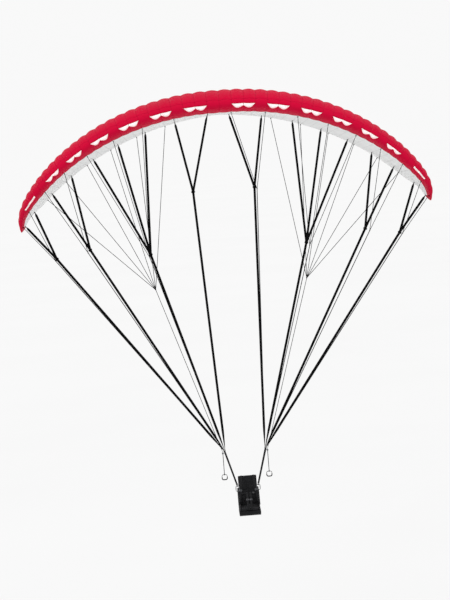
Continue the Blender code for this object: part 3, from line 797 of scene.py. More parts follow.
def wingtip(name, way):
    """The closed end of the canopy, a cap that rounds off the last section."""
    rib = way * CELLS
    stations = [(step / 16) ** 2 for step in range(16, -1, -1)]
    outline = [canopy_point(rib, x, 1) for x in stations]
    outline += [canopy_point(rib, x, -1) for x in stations[-2::-1]]
    outward = canopy_point(rib, 0.5, -1) - canopy_point(rib - way, 0.5, -1)
    outward = Matrix.Rotation(way * TIP_CAP_LEAN, 3, "Y") @ Vector((outward.x, 0, outward.z)).normalized()
    middle = mean_of(outline)
    bm = bmesh.new()
    layers = [number_layer(bm, key) for key in ("rib", "share", "run")]
    rings = []
    for turn in range(CAP_TURNS + 1):
        size = max(CAP_END, (1 - turn / CAP_TURNS) ** 0.55)
        offset = outward * (TIP_CAP_LENGTH * turn / CAP_TURNS)
        ring = []
        for index, point in enumerate(outline):
            vert = bm.verts.new(middle + (point - middle) * size + offset)
            for layer, amount in zip(layers, (0.3, 0.5, index * 0.03)):
                vert[layer] = amount
            ring.append(vert)
        rings.append([bm.edges.new(pair) for pair in zip(ring, ring[1:] + ring[:1])])
    for low, high in zip(rings, rings[1:]):
        bmesh.ops.bridge_loops(bm, edges=low + high)
    bmesh.ops.contextual_create(bm, geom=rings[-1])
    piece = finished("tip_cloth_" + name, tidy(bm), red_cloth, "wing", ["wingtip_" + name],
                     sharp=60)
    wall(piece)
    flat = (1.5 * TIP_CAP_LENGTH, 0.98 * chord_at(CELLS))


def intake_lining():
    """White cloth behind the intakes, and the front of each rib that divides them."""
    bm = bmesh.new()
    back = Vector((0, LINING_DEPTH, 0))
    for way in SIDES.values():
        for low in (*PAIR_STARTS, SLOT_START):
            for start in (low, low + 1):
                grid = bmesh.ops.create_grid(bm, x_segments=6, y_segments=5, size=1)["verts"]
                for vert in grid:
                    rib = start + 0.02 + 0.96 * (vert.co.x + 1) / 2
                    depth = (vert.co.y + 1) / 2
                    x = INTAKE_TOP + (0.045 - INTAKE_TOP) * depth ** 2
                    scoop = Vector((0, math.sin(math.pi * depth) * 0.02, 0.006))
                    vert.co = canopy_point(way * rib, x, -1) + back * (1 - 0.6 * depth) + scoop
            for rib in (low, low + 1, low + 2):
                grid = bmesh.ops.create_grid(bm, x_segments=4, y_segments=5, size=1)["verts"]
                for vert in grid:
                    depth = (vert.co.y + 1) / 2
                    x = INTAKE_TOP + (0.05 - INTAKE_TOP) * depth ** 2
                    inner = canopy_point(way * rib, x, -1) + Vector((0, 0.006, 0.006))
                    vert.co = inner + back * (vert.co.x + 1) / 2 * 1.4
    area = sum(face.calc_area() for face in bm.faces)
    piece = finished("intake_lining", bm, white_cloth, "wing", sharp=60)
    wall(piece, LINING_CLOTH, 0)
    area / LINING_WIDTH


def intake_hems():
    """Bound edges round each intake, with the cloth turned over a thin cord."""
    bm = bmesh.new()
    for way in SIDES.values():
        for cell in (*PAIR_STARTS, SLOT_START):
            ribs = [cell + 2 * step / 32 for step in range(33)]
            low = [canopy_point(way * rib, *intake_row()(rib)) for rib in ribs]
            top = [canopy_point(way * rib, INTAKE_TOP, -1) for rib in reversed(ribs)]
            sweep(bm, low + top, (HEM_RADIUS, HEM_RADIUS), across=Vector((0, 1, 0.01)), sides=6, closed=True)
    finished("intake_hems", tidy(bm), red_webbing, "wing")


# Lines

def attachment(rib, x):
    """A point on the underside at a rib, the way out of it, and the way to the rear."""
    point = canopy_point(rib, x, -1)
    along = canopy_point(rib, x + 0.01, -1) - canopy_point(rib, x - 0.01, -1)
    way = math.copysign(0.5, rib)
    outer = canopy_point(rib + way if abs(rib) < CELLS else rib, x, -1)
    across = (outer - canopy_point(rib - way, x, -1)) * way
    return point, along.cross(across).normalized(), along.normalized()


def strand(bm, start, end, radius, taper, tip=LINE_TIP):
    """A line from a knot, which narrows over its last stretch to the radius of its tip."""
    whole = (end - start).length
    way = (end - start).normalized()
    marks = [(radius * 0.3, radius)]
    for share in (0.25, 0.5, 0.75):
        marks.append((radius + (whole - taper - radius) * share, radius))
    marks.append((whole - taper, radius))
    for step in range(1, TIP_STEPS + 1):
        share = step / TIP_STEPS
        marks.append((whole - taper * (1 - share), radius + (tip - radius) * share ** 1.3))
    path = [start + way * distance for distance, size in marks]
    sweep(bm, path, [(size, size) for distance, size in marks], across=Vector((0.3, 0.9, 0.1)), sides=12)


def knot(bm, centre, radius, way):
    """The round knot where lines meet, with three turns of line round the one that leaves it."""
    bmesh.ops.create_icosphere(bm, subdivisions=3, radius=radius * 1.12, matrix=Matrix.Translation(centre))
    first = way.orthogonal().normalized()
    second = way.cross(first).normalized()
    for lift in (-0.45, 0.0, 0.45):
        size = radius * (1.18 - 0.3 * abs(lift))
        path = ring_path(centre + way * radius * lift, first * size, second * size, 18)
        sweep(bm, path, (radius * 0.30, radius * 0.30), across=way, sides=6, closed=True)


def fan(node, braid, ribs, x, middle, foot, radii, gap, tip, trim):
    """Lines from the underside to a knot, and the one line from the knot down to its foot."""
    upper, lower, knot_radius = radii
    bm = bmesh.new()
    strand(bm, middle, foot, lower, LINK_TAPER, tip)
    for rib in ribs:
        point, out, along = attachment(rib, x)
        strand(bm, middle, point + out * gap, upper, TIP_TAPER)
        tab_and_ring(*trim, point, out, along, middle)
    knot(bm, middle, knot_radius, (foot - middle).normalized())
    finished(node + "_rope", tidy(bm), braid, "wing", [node])


def lines():
    """Both rows' four fans a side and the brake's, with the tabs and eyes that hold them."""
    tabs = bmesh.new()
    rings = bmesh.new()
    for name, way in SIDES.items():
        for row, (x, riser_y, upper, lower) in LINE_ROWS.items():
            for index, (knot_x, knot_z, ribs) in enumerate(CASCADES):
                sided = [way * rib for rib in ribs]
                mean = mean_of([canopy_point(rib, x, -1) for rib in sided])
                foot_x = RISER_X + LINK_SPACING * (index - (len(CASCADES) - 1) / 2)
                foot = Vector((way * foot_x, riser_y, RISER_TOP))
                share = (mean.z - knot_z) / (mean.z - foot.z)
                middle = Vector((way * knot_x, mean.y + (foot.y - mean.y) * share, knot_z))
                fan(f"{row}_lines_{name}_{index + 1}", line_braid, sided, x, middle, foot,
                    (upper, lower, lower * 1.15), LINE_END_GAP, LINE_TIP, (tabs, rings))
        brake_lines(name, way, tabs, rings)
    finished("line_tabs", tidy(tabs), black_webbing, "wing")
    finished("line_eyes", tidy(rings), line_braid, "wing")


def tab_and_ring(tabs, rings, point, out, along, middle):
    """A webbing loop sewn to the underside, and the eye of the line through it."""
    across = along.cross(out).normalized()
    loop = ((-0.045, 0.0015), (-0.016, 0.0022), (-0.006, 0.010), (0, 0.016),
            (0.006, 0.010), (0.016, 0.0022), (0.045, 0.0015))
    path = smooth_path([point + along * reach + out * height for reach, height in loop], 3)
    sweep(tabs, path, (0.008, 0.0010), across=across, sides=8, power=0.4)
    down = (middle - point).normalized()
    side = down.cross(along).normalized()
    centre = point + out * 0.016 + down * EYE_RING * 0.6
    sweep(rings, ring_path(centre, down * EYE_RING * 1.3, side * EYE_RING, 14), (EYE_ROD, EYE_ROD),
          across=along, sides=6, closed=True)


def riser_at(row, z, way=1):
    """Middle of a row's strap at a height, on the straight run from the carabiner to the row's link."""
    low = HANG_Z + LOOP_FOOT
    share = (z - low) / (RISER_TOP - LINK_HEIGHT / 2 - low)
    return Vector((way * (HANG_X + (RISER_X - HANG_X) * share), LINE_ROWS[row][1] * share, z))


def brake_lines(name, way, tabs, rings):
    """The fan at the trailing edge, whose one line ends on the pulley."""
    sided = [way * rib for rib in BRAKE_RIBS]
    mean = mean_of([canopy_point(rib, BRAKE_CHORD, -1) for rib in sided])
    foot_z = PULLEY_Z + PULLEY_RADIUS * math.cos(math.pi / 16)
    foot = Vector((way * PULLEY_X, riser_at("b", PULLEY_Z).y, foot_z))
    fan(f"brake_lines_{name}", cord_braid, sided, BRAKE_CHORD, mean.lerp(foot, BRAKE_KNOT_SHARE), foot,
        (BRAKE_RADIUS, BRAKE_RADIUS, BRAKE_RADIUS * 1.7), BRAKE_END_GAP, BRAKE_TIP, (tabs, rings))


# Risers, links, pulleys and carabiners

def layered_strap(bm, start, end, normal, spacing, sizes, steps):
    """Three layers of webbing on a straight run; gives the ways along it and across its width."""
    run = (end - start).normalized()
    wide = run.cross(normal).normalized()
    for layer in (-1, 0, 1):
        path = [point + normal * layer * spacing for point in straight(start, end, steps)]
        sweep(bm, path, sizes, across=wide, power=STRAP_SQUARENESS)
    return run, wide


def webbing_loop(bm, eye, half_width):
    """The sewn loop of webbing round a carabiner's bar."""
    path = ring_path(eye, AFT * LOOP_RADIUS, UP * LOOP_RADIUS, 24)
    sweep(bm, path, (half_width, LOOP_HALF_THICKNESS), power=0.4, closed=True)


def riser(name, way):
    """Two layered straps from one loop on the carabiner, with bar tacks, and a keeper round their foot."""
    bm = bmesh.new()
    tacks = bmesh.new()
    for row in LINE_ROWS:
        end = riser_at(row, RISER_TOP - LINK_HEIGHT, way)
        start = riser_at(row, HANG_Z + 0.02, way)
        run, face = layered_strap(bm, start, end, AFT, 0.0039, (RISER_WIDTH / 2, 0.0018), 30)
        for distance in (0.05, 0.19, 0.33, 0.47, 0.61, (end - start).length - 0.035):
            for side in (-1, 1):
                base = axes_at(start + run * distance + AFT * side * 0.0058, run, face)
                for lane in (-0.012, -0.004, 0.004, 0.012):
                    brick(tacks, base @ Matrix.Translation((lane, 0, 0)), (0.0016, 0.0010, 0.022), 0.0003)
    webbing_loop(bm, Vector((way * HANG_X, 0, HANG_Z)), 0.015)
    finished("riser_straps_" + name, tidy(bm), black_webbing, "wing", ["riser_" + name])
    finished("riser_tacks_" + name, tidy(tacks), grey_webbing, "wing")
    keeper = bmesh.new()
    low = riser_at("a", HANG_Z + 0.020, way)
    high = riser_at("a", HANG_Z + 0.062, way)
    low.y = high.y = 0.001
    sweep(keeper, straight(low, high, 6), (RISER_WIDTH / 2 + 0.002, 0.0105), sides=20, power=0.5)
    finished("riser_keeper_" + name, tidy(keeper), dark_plastic, "wing")


def link(bm, barrel, centre, half_width):
    """A steel quick link on top of a riser: a rod loop that closes in a hexagonal barrel."""
    top = 0.008
    low = -0.012
    loop = [(-half_width, top - 0.004), (-half_width + 0.004, top), (half_width - 0.004, top),
            (half_width, top - 0.004), (0.012, low), (0.006, low - 0.004), (-0.006, low - 0.004),
            (-0.012, low)]
    path = smooth_path([centre + Vector((x, 0, z)) for x, z in loop], 4, closed=True)
    sweep(bm, path, (0.0026, 0.0026), across=AFT, sides=10, closed=True)
    drum(barrel, centre + Vector((half_width * 0.42, 0, top)), ACROSS, 0.0048, 0.018, sides=6, bevel=0.0006)


def links():
    """The quick links between both sides' straps and their lines."""
    for name, way in SIDES.items():
        bm = bmesh.new()
        nuts = bmesh.new()
        for _, riser_y, _, _ in LINE_ROWS.values():
            link(bm, nuts, Vector((way * RISER_X, riser_y, RISER_TOP - 0.010)), 0.027)
        finished("links_" + name, tidy(bm), steel, "wing")
        finished("link_nuts_" + name, tidy(nuts), steel, "wing")


def pulley(name, way):
    """Two cheeks, a grooved wheel and its axle, hung by a webbing tab from the rear riser."""
    strap = riser_at("b", PULLEY_Z, way)
    centre = Vector((way * PULLEY_X, strap.y, PULLEY_Z))
    cheeks = bmesh.new()
    for side in (-1, 1):
        drum(cheeks, centre + AFT * side * 0.0078, AFT, 0.0195, 0.0022, 32, 0.0006)
        drum(cheeks, centre + AFT * side * 0.0095, AFT, 0.0045, 0.0030, 12, 0.0005)
    shackle = Matrix.Translation(centre + Vector((way * -0.013, 0, 0.006)))
    brick(cheeks, shackle, (0.010, 0.0135, 0.014), 0.001)
    finished("pulley_cheeks_" + name, tidy(cheeks), alloy, "wing", ["brake_pulley_" + name])
    wheel = bmesh.new()
    for side in (-1, 1):
        drum(wheel, centre + AFT * side * 0.0048, AFT, 0.0175, 0.0030, 32, 0.0006)
    drum(wheel, centre, AFT, 0.0135, 0.009, 32)
    finished("pulley_wheel_" + name, tidy(wheel), dark_plastic, "wing")
    tab = bmesh.new()
    start = strap + Vector((way * 0.017, 0, 0.004))
    end = centre + Vector((way * -0.012, 0, 0.008))
    sweep(tab, straight(start, end, 4), (0.0065, 0.0016), across=AFT, sides=10, power=0.4)
    finished("pulley_tab_" + name, tidy(tab), black_webbing, "wing")


def rounded_loop(half_width, top, bottom, corner, steps=8):
    """Points of an upright rounded rectangle in X and Z."""
    points = []
    corners = [(1, top - corner), (-1, top - corner), (-1, bottom + corner), (1, bottom + corner)]
    for turn, (x, z) in enumerate(corners):
        for step in range(steps + 1):
            angle = math.pi / 2 * (turn + step / steps)
            points.append(Vector((x * (half_width - corner) + corner * math.cos(angle), 0,
                                  z + corner * math.sin(angle))))
    return points


def carabiner(name, way):
    """A forged alloy loop with a hinged gate, a locking sleeve and a pin."""
    centre = Vector((way * HANG_X, 0, HANG_Z))
    bm = bmesh.new()
    path = [centre + point for point in rounded_loop(CARABINER_HALF_WIDTH, 0, -CARABINER_HEIGHT, 0.018)]
    sweep(bm, path, (CARABINER_ROD, CARABINER_ROD), across=AFT, sides=14, closed=True)
    finished("carabiner_body_" + name, tidy(bm), alloy, "harness", ["carabiner_" + name])
    gate = bmesh.new()
    side = centre + Vector((way * CARABINER_HALF_WIDTH, 0, 0))
    for z, radius, length in ((-0.048, 0.0086, 0.034), (-0.027, 0.0078, 0.006), (-0.069, 0.0078, 0.006)):
        drum(gate, side + UP * z, UP, radius, length, 24, 0.0008)
    for step in range(6):
        drum(gate, side + UP * (-0.036 - 0.0048 * step), UP, 0.0091, 0.0022, 24, 0.0005)
    drum(gate, side + UP * -0.088, AFT, 0.0028, 0.0150, 16, 0.0005)
    finished("carabiner_gate_" + name, tidy(gate), steel, "harness")


def brake(name, way):
    """The lower brake cord, its swivel, and a padded webbing handle with its stitches."""
    centre = Vector((way * PULLEY_X, riser_at("b", PULLEY_Z).y, HANDLE_TOP))
    top = Vector((centre.x, centre.y, PULLEY_Z - PULLEY_RADIUS))
    cord = bmesh.new()
    sweep(cord, straight(top, centre, 40), (CORD_RADIUS, CORD_RADIUS))
    piece = finished("brake_cord_braid_" + name, tidy(cord), cord_braid, None,
                     ["brake_cord_" + name])
    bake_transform(piece)
    bm = bmesh.new()
    loop = rounded_loop(HANDLE_HALF_WIDTH, -HANDLE_TUBE, -HANDLE_HEIGHT + HANDLE_TUBE, 0.035, 10)
    path = [centre + point for point in loop]
    sizes = []
    for point in loop:
        grip = 1 / (1 + math.exp((point.z + HANDLE_HEIGHT * 0.55) / 0.006))
        sizes.append((0.0098 + 0.0012 * grip, 0.0052 + 0.0055 * grip))
    sweep(bm, path, sizes, across=AFT, sides=16, power=0.7, closed=True)
    finished("brake_grip_" + name, tidy(bm), black_webbing, "brake_" + name,
             ["brake_handle_" + name])
    swivel = bmesh.new()
    drum(swivel, centre + UP * -0.004, UP, 0.0088, 0.012, 20, 0.001)
    drum(swivel, centre + UP * -0.020, UP, 0.0115, 0.008, 20, 0.001)
    finished("brake_swivel_" + name, tidy(swivel), dark_plastic, "brake_" + name)
    stitches = bmesh.new()
    for side in (-1, 1):
        for step in range(5):
            place = centre + Vector((side * (0.0125 + 0.0018 * step), 0, -HANDLE_TUBE + 0.0049))
            brick(stitches, Matrix.Translation(place), (0.0009, 0.010, 0.0012), 0.0002)
    finished("brake_stitches_" + name, tidy(stitches), grey_webbing, "brake_" + name)


# Harness pads, stuffed by a short cloth simulation between their seams

def merged_copy(node):
    """A welded copy of a CAD node's mesh."""
    bm = bmesh.new()
    bm.from_mesh(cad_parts[node].data)
    bmesh.ops.remove_doubles(bm, verts=bm.verts, dist=1e-5)
    return bm


def distance_to(points, seams):
    """Distance of each point to the nearest of some closed seams."""
    best = np.full(len(points), 1e9)
    for seam in seams:
        for start, end in zip(seam, seam[1:] + seam[:1]):
            a = np.array(start)
            d = np.array(end) - a
            t = np.clip(((points - a) @ d) / max(d @ d, 1e-12), 0, 1)
            best = np.minimum(best, np.linalg.norm(points - a - t[:, None] * d, axis=1))
    return best


def normals_of(mesh):
    return np.array([vert.normal for vert in mesh.vertices], float)


def points_of(mesh):
    """The places of a mesh's points as rows of an array."""
    flat = np.empty(len(mesh.vertices) * 3, np.float32)
    mesh.vertices.foreach_get("co", flat)
    return flat.reshape(-1, 3).astype(float)


def baked(piece):
    """The piece's mesh with its modifiers applied."""
    graph = bpy.context.evaluated_depsgraph_get()
    mesh = bpy.data.meshes.new_from_object(piece.evaluated_get(graph))
    piece.modifiers.clear()
    piece.data = mesh
    return mesh


def remeshed(name, node, voxel, inset):
    """A pad's start: the CAD solid drawn in a little and cut into even faces."""
    bm = merged_copy(node)
    for vert in bm.verts:
        vert.normal_update()
    moves = [vert.normal * inset for vert in bm.verts]
    for vert, move in zip(bm.verts, moves):
        vert.co -= move
    mesh = bpy.data.meshes.new(name)
    bm.to_mesh(mesh)
    bm.free()
    piece = bpy.data.objects.new(name, mesh)
    bpy.context.scene.collection.objects.link(piece)
    remesh = piece.modifiers.new("even", "REMESH")
    remesh.mode = "VOXEL"
    remesh.voxel_size = voxel
    baked(piece)
    return piece


def stuff(pads):
    """Blows up every pad at once between its pinned seams; no point moves further than its cap.
    """
    starts = [points_of(piece.data) for piece, seams, cap in pads]
    for (piece, seams, cap), points in zip(pads, starts):
        group = piece.vertex_groups.new(name="seams")
        pinned = np.nonzero(distance_to(points, seams) < PIN_REACH)[0]
        group.add([int(index) for index in pinned], 1.0, "REPLACE")
        cloth = piece.modifiers.new("cloth", "CLOTH")
        cloth.settings.use_pressure = True
        cloth.settings.uniform_pressure_force = PUFF_PRESSURE
        cloth.settings.vertex_group_mass = "seams"
        cloth.settings.effector_weights.gravity = 0
        cloth.point_cache.frame_end = PUFF_FRAMES
    for frame_number in range(1, PUFF_FRAMES + 1):
        bpy.context.scene.frame_set(frame_number)
    for (piece, seams, cap), start in zip(pads, starts):
        mesh = baked(piece)
        points = points_of(mesh)
        move = points - start
        length = np.linalg.norm(move, axis=1)
        held = np.minimum(1.0, cap / np.maximum(length, 1e-9))
        points = start + move * held[:, None]
        away = distance_to(points, seams)
        points -= normals_of(mesh) * (SEAM_DEPTH * np.exp(-(away / SEAM_REACH) ** 2))[:, None]
        mesh.vertices.foreach_set("co", points.astype(np.float32).ravel())
        mesh.update()
        mesh.shade_smooth()
    bpy.context.scene.frame_set(1)


def on_cloth(tree, path, closed):
    """A seam's path cut fine, laid on a pad's cloth and smoothed."""
    path = [Vector(point) for point in path]
    points = []
    for start, end in zip(path, path[1:] + path[:1] if closed else path[1:]):
        count = max(1, math.ceil((end - start).length / PIPING_STEP))
        points += [tree.find_nearest(start.lerp(end, step / count))[0] for step in range(count)]
    if not closed:
        points.append(tree.find_nearest(path[-1])[0])
    apart = points[:1]
    for point in points[1:]:
        if (point - apart[-1]).length > PIPING_STEP / 3:
            apart.append(point)
    for _ in range(4):
        if closed:
            sides = zip(apart[-1:] + apart[:-1], apart, apart[1:] + apart[:1])
        else:
            sides = zip(apart[:1] + apart[:-1], apart, apart[1:] + apart[-1:])
        apart = [(before + 2 * point + after) / 4 for before, point, after in sides]
    return apart


def behind_back(z):
    """Fore-and-aft place of the back pad's rear face at a height."""
    foot = Vector((0, SEAT_REAR, SEAT_Z - PAD_THICKNESS)) + LEAN_BACK * PAD_THICKNESS
    return foot.y + (z - foot.z) * math.tan(BACK_LEAN)


def rounded_outline(corners, radius, steps=4):
    """A closed outline in Y and Z with its corners rounded off."""
    points = [Vector((0, y, z)) for y, z in corners]
    path = []
    for index, corner in enumerate(points):
        before = points[index - 1] - corner
        after = points[(index + 1) % len(points)] - corner
        reach = min(radius, before.length * 0.45, after.length * 0.45)
        start = corner + before.normalized() * reach
        end = corner + after.normalized() * reach
        for step in range(steps + 1):
            t = step / steps
            path.append(start * (1 - t) ** 2 + corner * 2 * t * (1 - t) + end * t * t)
    return path


def shifted(path, x):
    """A path in the harness's own Y and Z, at a place across."""
    return [Vector((x, HARNESS_Y + point.y, point.z)) for point in path]


def pad_seams(base, half_length):
    """The seams round a pad's two faces, as rounded rectangles in the pad's own axes."""
    end = half_length - SEAM_INSET
    flat = rounded_loop(PAD_HALF_WIDTH - SEAM_INSET, end, -end, 0.03, 5)
    height = PAD_THICKNESS / 2 - 0.006
    return [[base @ Vector((point.x, point.z, side * height)) for point in flat] for side in (-1, 1)]


def seat_and_back():
    """Seams and quilting of the seat pad and the back pad."""
    middle = Vector((0, HARNESS_Y + (SEAT_FRONT + SEAT_REAR) / 2, SEAT_Z - PAD_THICKNESS / 2))
    seat_base = Matrix.Translation(middle)
    half_depth = (SEAT_REAR - SEAT_FRONT) / 2
    foot = Vector((0, HARNESS_Y + SEAT_REAR, SEAT_Z - PAD_THICKNESS))
    back_middle = foot + LEAN_BACK * PAD_THICKNESS / 2 + LEAN_UP * BACK_LENGTH / 2
    back_base = axes_at(back_middle, -LEAN_BACK, ACROSS)
    top = PAD_THICKNESS / 2 - 0.003
    seat_quilts = [[seat_base @ Vector((x, y, top)) for y in (-half_depth + 0.03, half_depth - 0.03)]
                   for x in (-0.067, 0.067)]
    sign = 1 if (back_base @ AFT - back_base @ Vector()).z > 0 else -1
    back_quilts = [[back_base @ Vector((x, sign * level, top)) for x in ends]
                   for level in (-0.20, -0.09, 0.02, 0.13, 0.24) for ends in ((-0.17, -0.028), (0.028, 0.17))]
    back_quilts += [[back_base @ Vector((x, y, top)) for y in (-0.29, 0.29)] for x in (-0.028, 0.028)]
    return pad_seams(seat_base, half_depth), seat_quilts, pad_seams(back_base, BACK_LENGTH / 2), back_quilts


def across_bag(half_width, places):
    """Straight seams from one side of a bag to the other."""
    return [[Vector((x, HARNESS_Y + y, z)) for x in (-half_width, half_width)] for y, z in places]


def harness_bags():
    """The pads, the protector and the reserve's container, with piping on their seams."""
    seat, seat_quilts, back, back_quilts = seat_and_back()
    under = SEAT_Z - PAD_THICKNESS
    outer = [(SEAT_FRONT, under - 0.004), (SEAT_FRONT - 0.03, -8.41), (-0.26, -8.455), (0.10, -8.46),
             (0.22, -8.43), (0.28, -8.35), (0.315, -8.20), (0.335, -8.02), (0.32, -7.944),
             (behind_back(-7.944), -7.944), (behind_back(under), under - 0.012), (SEAT_REAR, under - 0.012)]
    side_outline = rounded_outline(outer, 0.03)
    protector_seams = [shifted(side_outline, side * PROTECTOR_HALF_WIDTH) for side in (-1, 1)]
    protector_runs = across_bag(PROTECTOR_HALF_WIDTH, ((-0.20, -8.457), (0.22, -8.43), (0.315, -8.20)))
    protector_runs += [shifted([Vector((0, y, z)) for y, z in outer[1:9]], x) for x in (-0.085, 0.085)]
    pack = [(behind_back(-7.936), -7.936), (0.32, -7.936), (0.365, -7.90), (0.375, -7.79), (0.35, -7.718),
            (behind_back(-7.718), -7.718)]
    pack_outline = rounded_outline(pack, 0.03)
    pack_seams = [shifted(pack_outline, side * PACK_HALF_WIDTH) for side in (-1, 1)]
    flap = across_bag(PACK_HALF_WIDTH, ((0.373, -7.80), (0.36, -7.735)))
    bags = [
        ("seat_cushion", "seat_pad", back_mesh, (0.007, 0.003, 0.010), seat, [], seat_quilts),
        ("back_cushion", "back_pad", back_mesh, (0.007, 0.003, 0.009), back, [], back_quilts),
        ("protector_bag", "back_protector", harness_cloth, (0.010, 0.004, 0.012), protector_seams,
         protector_runs, []),
        ("reserve_bag", "reserve_container", harness_cloth, (0.008, 0.004, 0.010), pack_seams, flap, []),
    ]
    pads = []
    for name, node, material, (voxel, inset, cap), loops, runs, quilts in bags:
        pads.append((remeshed(name, node, voxel, inset), loops + runs + quilts, cap))
    stuff(pads)
    cords = bmesh.new()
    for (piece, *_), (name, node, material, sizes, loops, runs, quilts) in zip(pads, bags):
        piece.data.materials.clear()
        piece.data.materials.append(material)
        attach(piece, "harness")
        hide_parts(node)
        fine = piece.modifiers.new("fine", "SUBSURF")
        fine.levels = fine.render_levels = 1
        tree = BVHTree.FromPolygons([vert.co for vert in piece.data.vertices],
                                    [face.vertices for face in piece.data.polygons])
        for paths, radius, closed in ((loops, PIPING_RADIUS, True), (runs, THIN_PIPING_RADIUS, False)):
            for path in paths:
                sweep(cords, on_cloth(tree, path, closed), (radius, radius), across=Vector((0.3, 0.2, 0.9)),
                      sides=8, closed=closed)
    finished("harness_piping", tidy(cords), piping_cloth, "harness")


# Harness panels and webbing

def body_strap(name, node, knots, width):
    """Webbing along a smooth path."""
    bm = bmesh.new()
    sweep(bm, smooth_path(knots, 8), (width / 2, STRAP_THICKNESS / 2), power=STRAP_SQUARENESS)
    finished(name, tidy(bm), black_webbing, "harness", [node])


def side_panel(name, way):
    """Shaped cloth side with a bound edge and a zipped pocket."""
    low = SEAT_Z - PAD_THICKNESS
    corners = [(SEAT_FRONT, low), (SEAT_FRONT - 0.015, -8.26), (-0.10, -8.19), (0.06, -8.06), (0.165, -7.95),
               (behind_back(-7.95), -7.95), (behind_back(low), low)]
    outline = rounded_outline(corners, 0.05, 6)
    inner = way * (PAD_HALF_WIDTH + 0.004)
    bm = bmesh.new()
    path = shifted(outline, inner)
    face = bm.faces.new([bm.verts.new(point) for point in path])
    for inset in (0.006, 0.010, 0.014):
        bmesh.ops.inset_individual(bm, faces=[face], thickness=inset)
        bmesh.ops.translate(bm, verts=face.verts, vec=(way * 0.0022, 0, 0))
    bmesh.ops.triangulate(bm, faces=[face])
    piece = finished("side_cloth_" + name, tidy(bm), panel_cloth, "harness",
                     ["side_panel_" + name])
    wall(piece, 0.004, 0)
    binding = bmesh.new()
    sweep(binding, path, (0.0045, 0.0070), sides=10, power=0.6, closed=True)
    zip_path = smooth_path([(inner + way * 0.0085, HARNESS_Y + y, z)
                            for y, z in ((-0.16, -8.265), (-0.04, -8.205), (0.06, -8.13))], 8)
    sweep(binding, zip_path, (0.0022, 0.008), sides=8, power=0.5)
    finished("side_binding_" + name, tidy(binding), piping_cloth, "harness")


def hip_webbing(name, way):
    """The V of webbing that hangs the seat, with a sewn loop round the carabiner's lower bar."""
    eye = Vector((way * HANG_X, 0, HANG_Z - CARABINER_HEIGHT))
    start = eye - UP * LOOP_FOOT
    bm = bmesh.new()
    tacks = bmesh.new()
    for y, z in ((-0.13, -8.25), (0.17, -8.22)):
        end = Vector((way * HANG_X, HARNESS_Y + y, z))
        run, wide = layered_strap(bm, start, end, ACROSS, 0.0046, (0.0195, 0.0021), 14)
        for distance in (0.06, (end - start).length - 0.03):
            for side in (-1, 1):
                base = axes_at(start + run * distance + ACROSS * side * 0.0071, run, wide)
                for turn in (-0.7, 0.7, 0):
                    brick(tacks, base @ Matrix.Rotation(turn, 4, "Y"), (0.0014, 0.0008, 0.036), 0.0002)
    webbing_loop(bm, eye, 0.010)
    finished("hip_straps_" + name, tidy(bm), black_webbing, "harness",
             ["hip_webbing_" + name])
    finished("hip_tacks_" + name, tidy(tacks), grey_webbing, "harness")


def shoulder_strap(name, way):
    """From the back pad's top over the shoulder to the hip, with its adjuster."""
    top = behind_back(-7.74) - PAD_THICKNESS / math.cos(BACK_LEAN) - 0.0036
    knots = [(way * 0.13, top, -7.74), (way * 0.13, top - 0.03, -7.69), (way * 0.132, 0.14, -7.665),
             (way * 0.138, 0.05, -7.72), (way * 0.15, -0.01, -7.83), (way * 0.165, -0.05, -7.94),
             (way * 0.18, -0.085, -8.07), (way * 0.19, -0.098, -8.185)]
    knots = [Vector(knot) + HARNESS_SHIFT for knot in knots]
    body_strap("shoulder_web_" + name, "shoulder_strap_" + name, knots, 0.045)
    buckle(name + "_shoulder", knots[5], knots[6] - knots[4], 0.048)


def buckle(name, centre, along, width):
    """A three-bar adjuster on a strap."""
    bm = bmesh.new()
    base = axes_at(centre, along, ACROSS)
    for z in (-0.014, 0, 0.014):
        brick(bm, base @ Matrix.Translation((0, 0, z)), (width + 0.006, 0.009, 0.005), 0.0012)
    for x in (-1, 1):
        brick(bm, base @ Matrix.Translation((x * (width / 2 + 0.002), 0, 0)), (0.005, 0.009, 0.034), 0.0012)
    finished("adjuster_" + name, tidy(bm), alloy, "harness")


def chest_strap():
    """A strap between the shoulder straps, with its clip."""
    centre = CHEST_CENTRE + CHEST_OUT * 0.0065 + HARNESS_SHIFT
    bm = bmesh.new()
    path = [centre + Vector((-0.182 + 0.364 * step / 24, 0, 0)) for step in range(25)]
    sweep(bm, path, (0.0148, 0.0028), across=CHEST_DOWN, power=STRAP_SQUARENESS)
    finished("chest_web", tidy(bm), black_webbing, "harness", ["chest_strap"])
    clip = bmesh.new()
    base = axes_at(centre + Vector((0.10, 0, 0)) + CHEST_OUT * 0.001, ACROSS, CHEST_DOWN)
    brick(clip, base, (0.036, 0.013, 0.044), 0.003)
    for y in (-1, 1):
        brick(clip, base @ Matrix.Translation((y * 0.0165, 0, 0.012)), (0.005, 0.010, 0.022), 0.002)
    finished("chest_clip", tidy(clip), dark_plastic, "harness")


def leg_strap(name, way):
    """From the seat's front edge up to the chest strap, with its adjuster."""
    end = CHEST_CENTRE + CHEST_OUT * 0.010
    knots = [(way * 0.035, SEAT_FRONT - 0.0015, -8.305), (way * 0.035, SEAT_FRONT - 0.035, -8.305),
             (way * 0.035, -0.365, -8.22), (way * 0.035, -0.30, -8.10)]
    last = [Vector((way * 0.035, end.y, end.z)) + CHEST_OUT * distance for distance in (0.10, 0.04, 0)]
    knots = [Vector(knot) + HARNESS_SHIFT for knot in knots + last]
    body_strap("leg_web_" + name, "leg_strap_" + name, knots, 0.04)
    buckle(name + "_leg", knots[3], knots[4] - knots[2], 0.042)


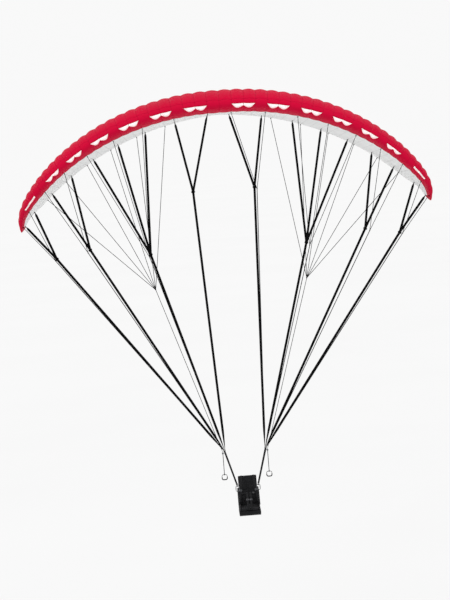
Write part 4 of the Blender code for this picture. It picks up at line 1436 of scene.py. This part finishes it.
def reserve_handle():
    """A red pull loop on the reserve's container."""
    bm = bmesh.new()
    centre = Vector((-0.176, HARNESS_Y + 0.327, -7.84))
    path = smooth_path([centre + Vector((0, y, z)) for y, z in
                        ((-0.026, -0.038), (0.0, -0.046), (0.024, -0.038), (0.032, 0.0), (0.024, 0.038),
                         (0.0, 0.046), (-0.026, 0.038), (-0.032, 0.0))], 4, closed=True)
    sweep(bm, path, (0.0022, 0.007), sides=10, power=0.5, closed=True)
    finished("reserve_handle", tidy(bm), red_webbing, "harness")


# Stage

def stage():
    """A wide pale floor far below, a plain studio sky and two soft suns."""
    floor = bmesh.new()
    bmesh.ops.create_circle(floor, cap_ends=True, segments=96, radius=FLOOR_RADIUS,
                            matrix=Matrix.Translation((0, 0, FLOOR_Z)))
    piece = finished("floor", floor, floor_paint(), None)
    world = bpy.data.worlds.new("studio")
    bpy.context.scene.world = world
    world.use_nodes = True
    world.node_tree.nodes["Background"].inputs["Color"].default_value = (*STUDIO_WHITE, 1)
    suns = (("key", (0.45, 0.62, -0.80), 0.85, 0.35), ("fill", (-0.7, 0.5, -0.5), 0.25, 0.8))
    for name, way, strength, softness in suns:
        light = bpy.data.lights.new(name, "SUN")
        light.energy = strength
        light.angle = softness
        lamp = bpy.data.objects.new(name, light)
        lamp.rotation_euler = Vector(way).to_track_quat("-Z", "Y").to_euler()
        bpy.context.scene.collection.objects.link(lamp)


def camera():
    """Looks at the glider from the front and a little above, rolled as the picture is."""
    made = bpy.data.cameras.new("camera")
    made.lens = CAMERA_LENS
    made.sensor_width = SENSOR
    made.clip_end = 4000
    eye = bpy.data.objects.new("camera", made)
    back = Vector((-math.sin(CAMERA_AZIMUTH) * math.cos(CAMERA_ELEVATION),
                   -math.cos(CAMERA_AZIMUTH) * math.cos(CAMERA_ELEVATION), math.sin(CAMERA_ELEVATION)))
    right = UP.cross(back).normalized()
    up = back.cross(right)
    turned_right = right * math.cos(CAMERA_ROLL) - up * math.sin(CAMERA_ROLL)
    turned_up = right * math.sin(CAMERA_ROLL) + up * math.cos(CAMERA_ROLL)
    turn = Matrix((turned_right, turned_up, back)).transposed().to_4x4()
    eye.matrix_world = Matrix.Translation(CAMERA_TARGET + back * CAMERA_DISTANCE) @ turn
    bpy.context.scene.collection.objects.link(eye)
    bpy.context.scene.camera = eye
    bpy.context.scene.view_settings.view_transform = "Standard"


camera()
stage()
canopy()
intake_lining()
intake_hems()
lines()
links()
for side_name, side_way in SIDES.items():
    riser(side_name, side_way)
    pulley(side_name, side_way)
    carabiner(side_name, side_way)
    brake(side_name, side_way)
    side_panel(side_name, side_way)
    hip_webbing(side_name, side_way)
    shoulder_strap(side_name, side_way)
    leg_strap(side_name, side_way)
chest_strap()
reserve_handle()
harness_bags()
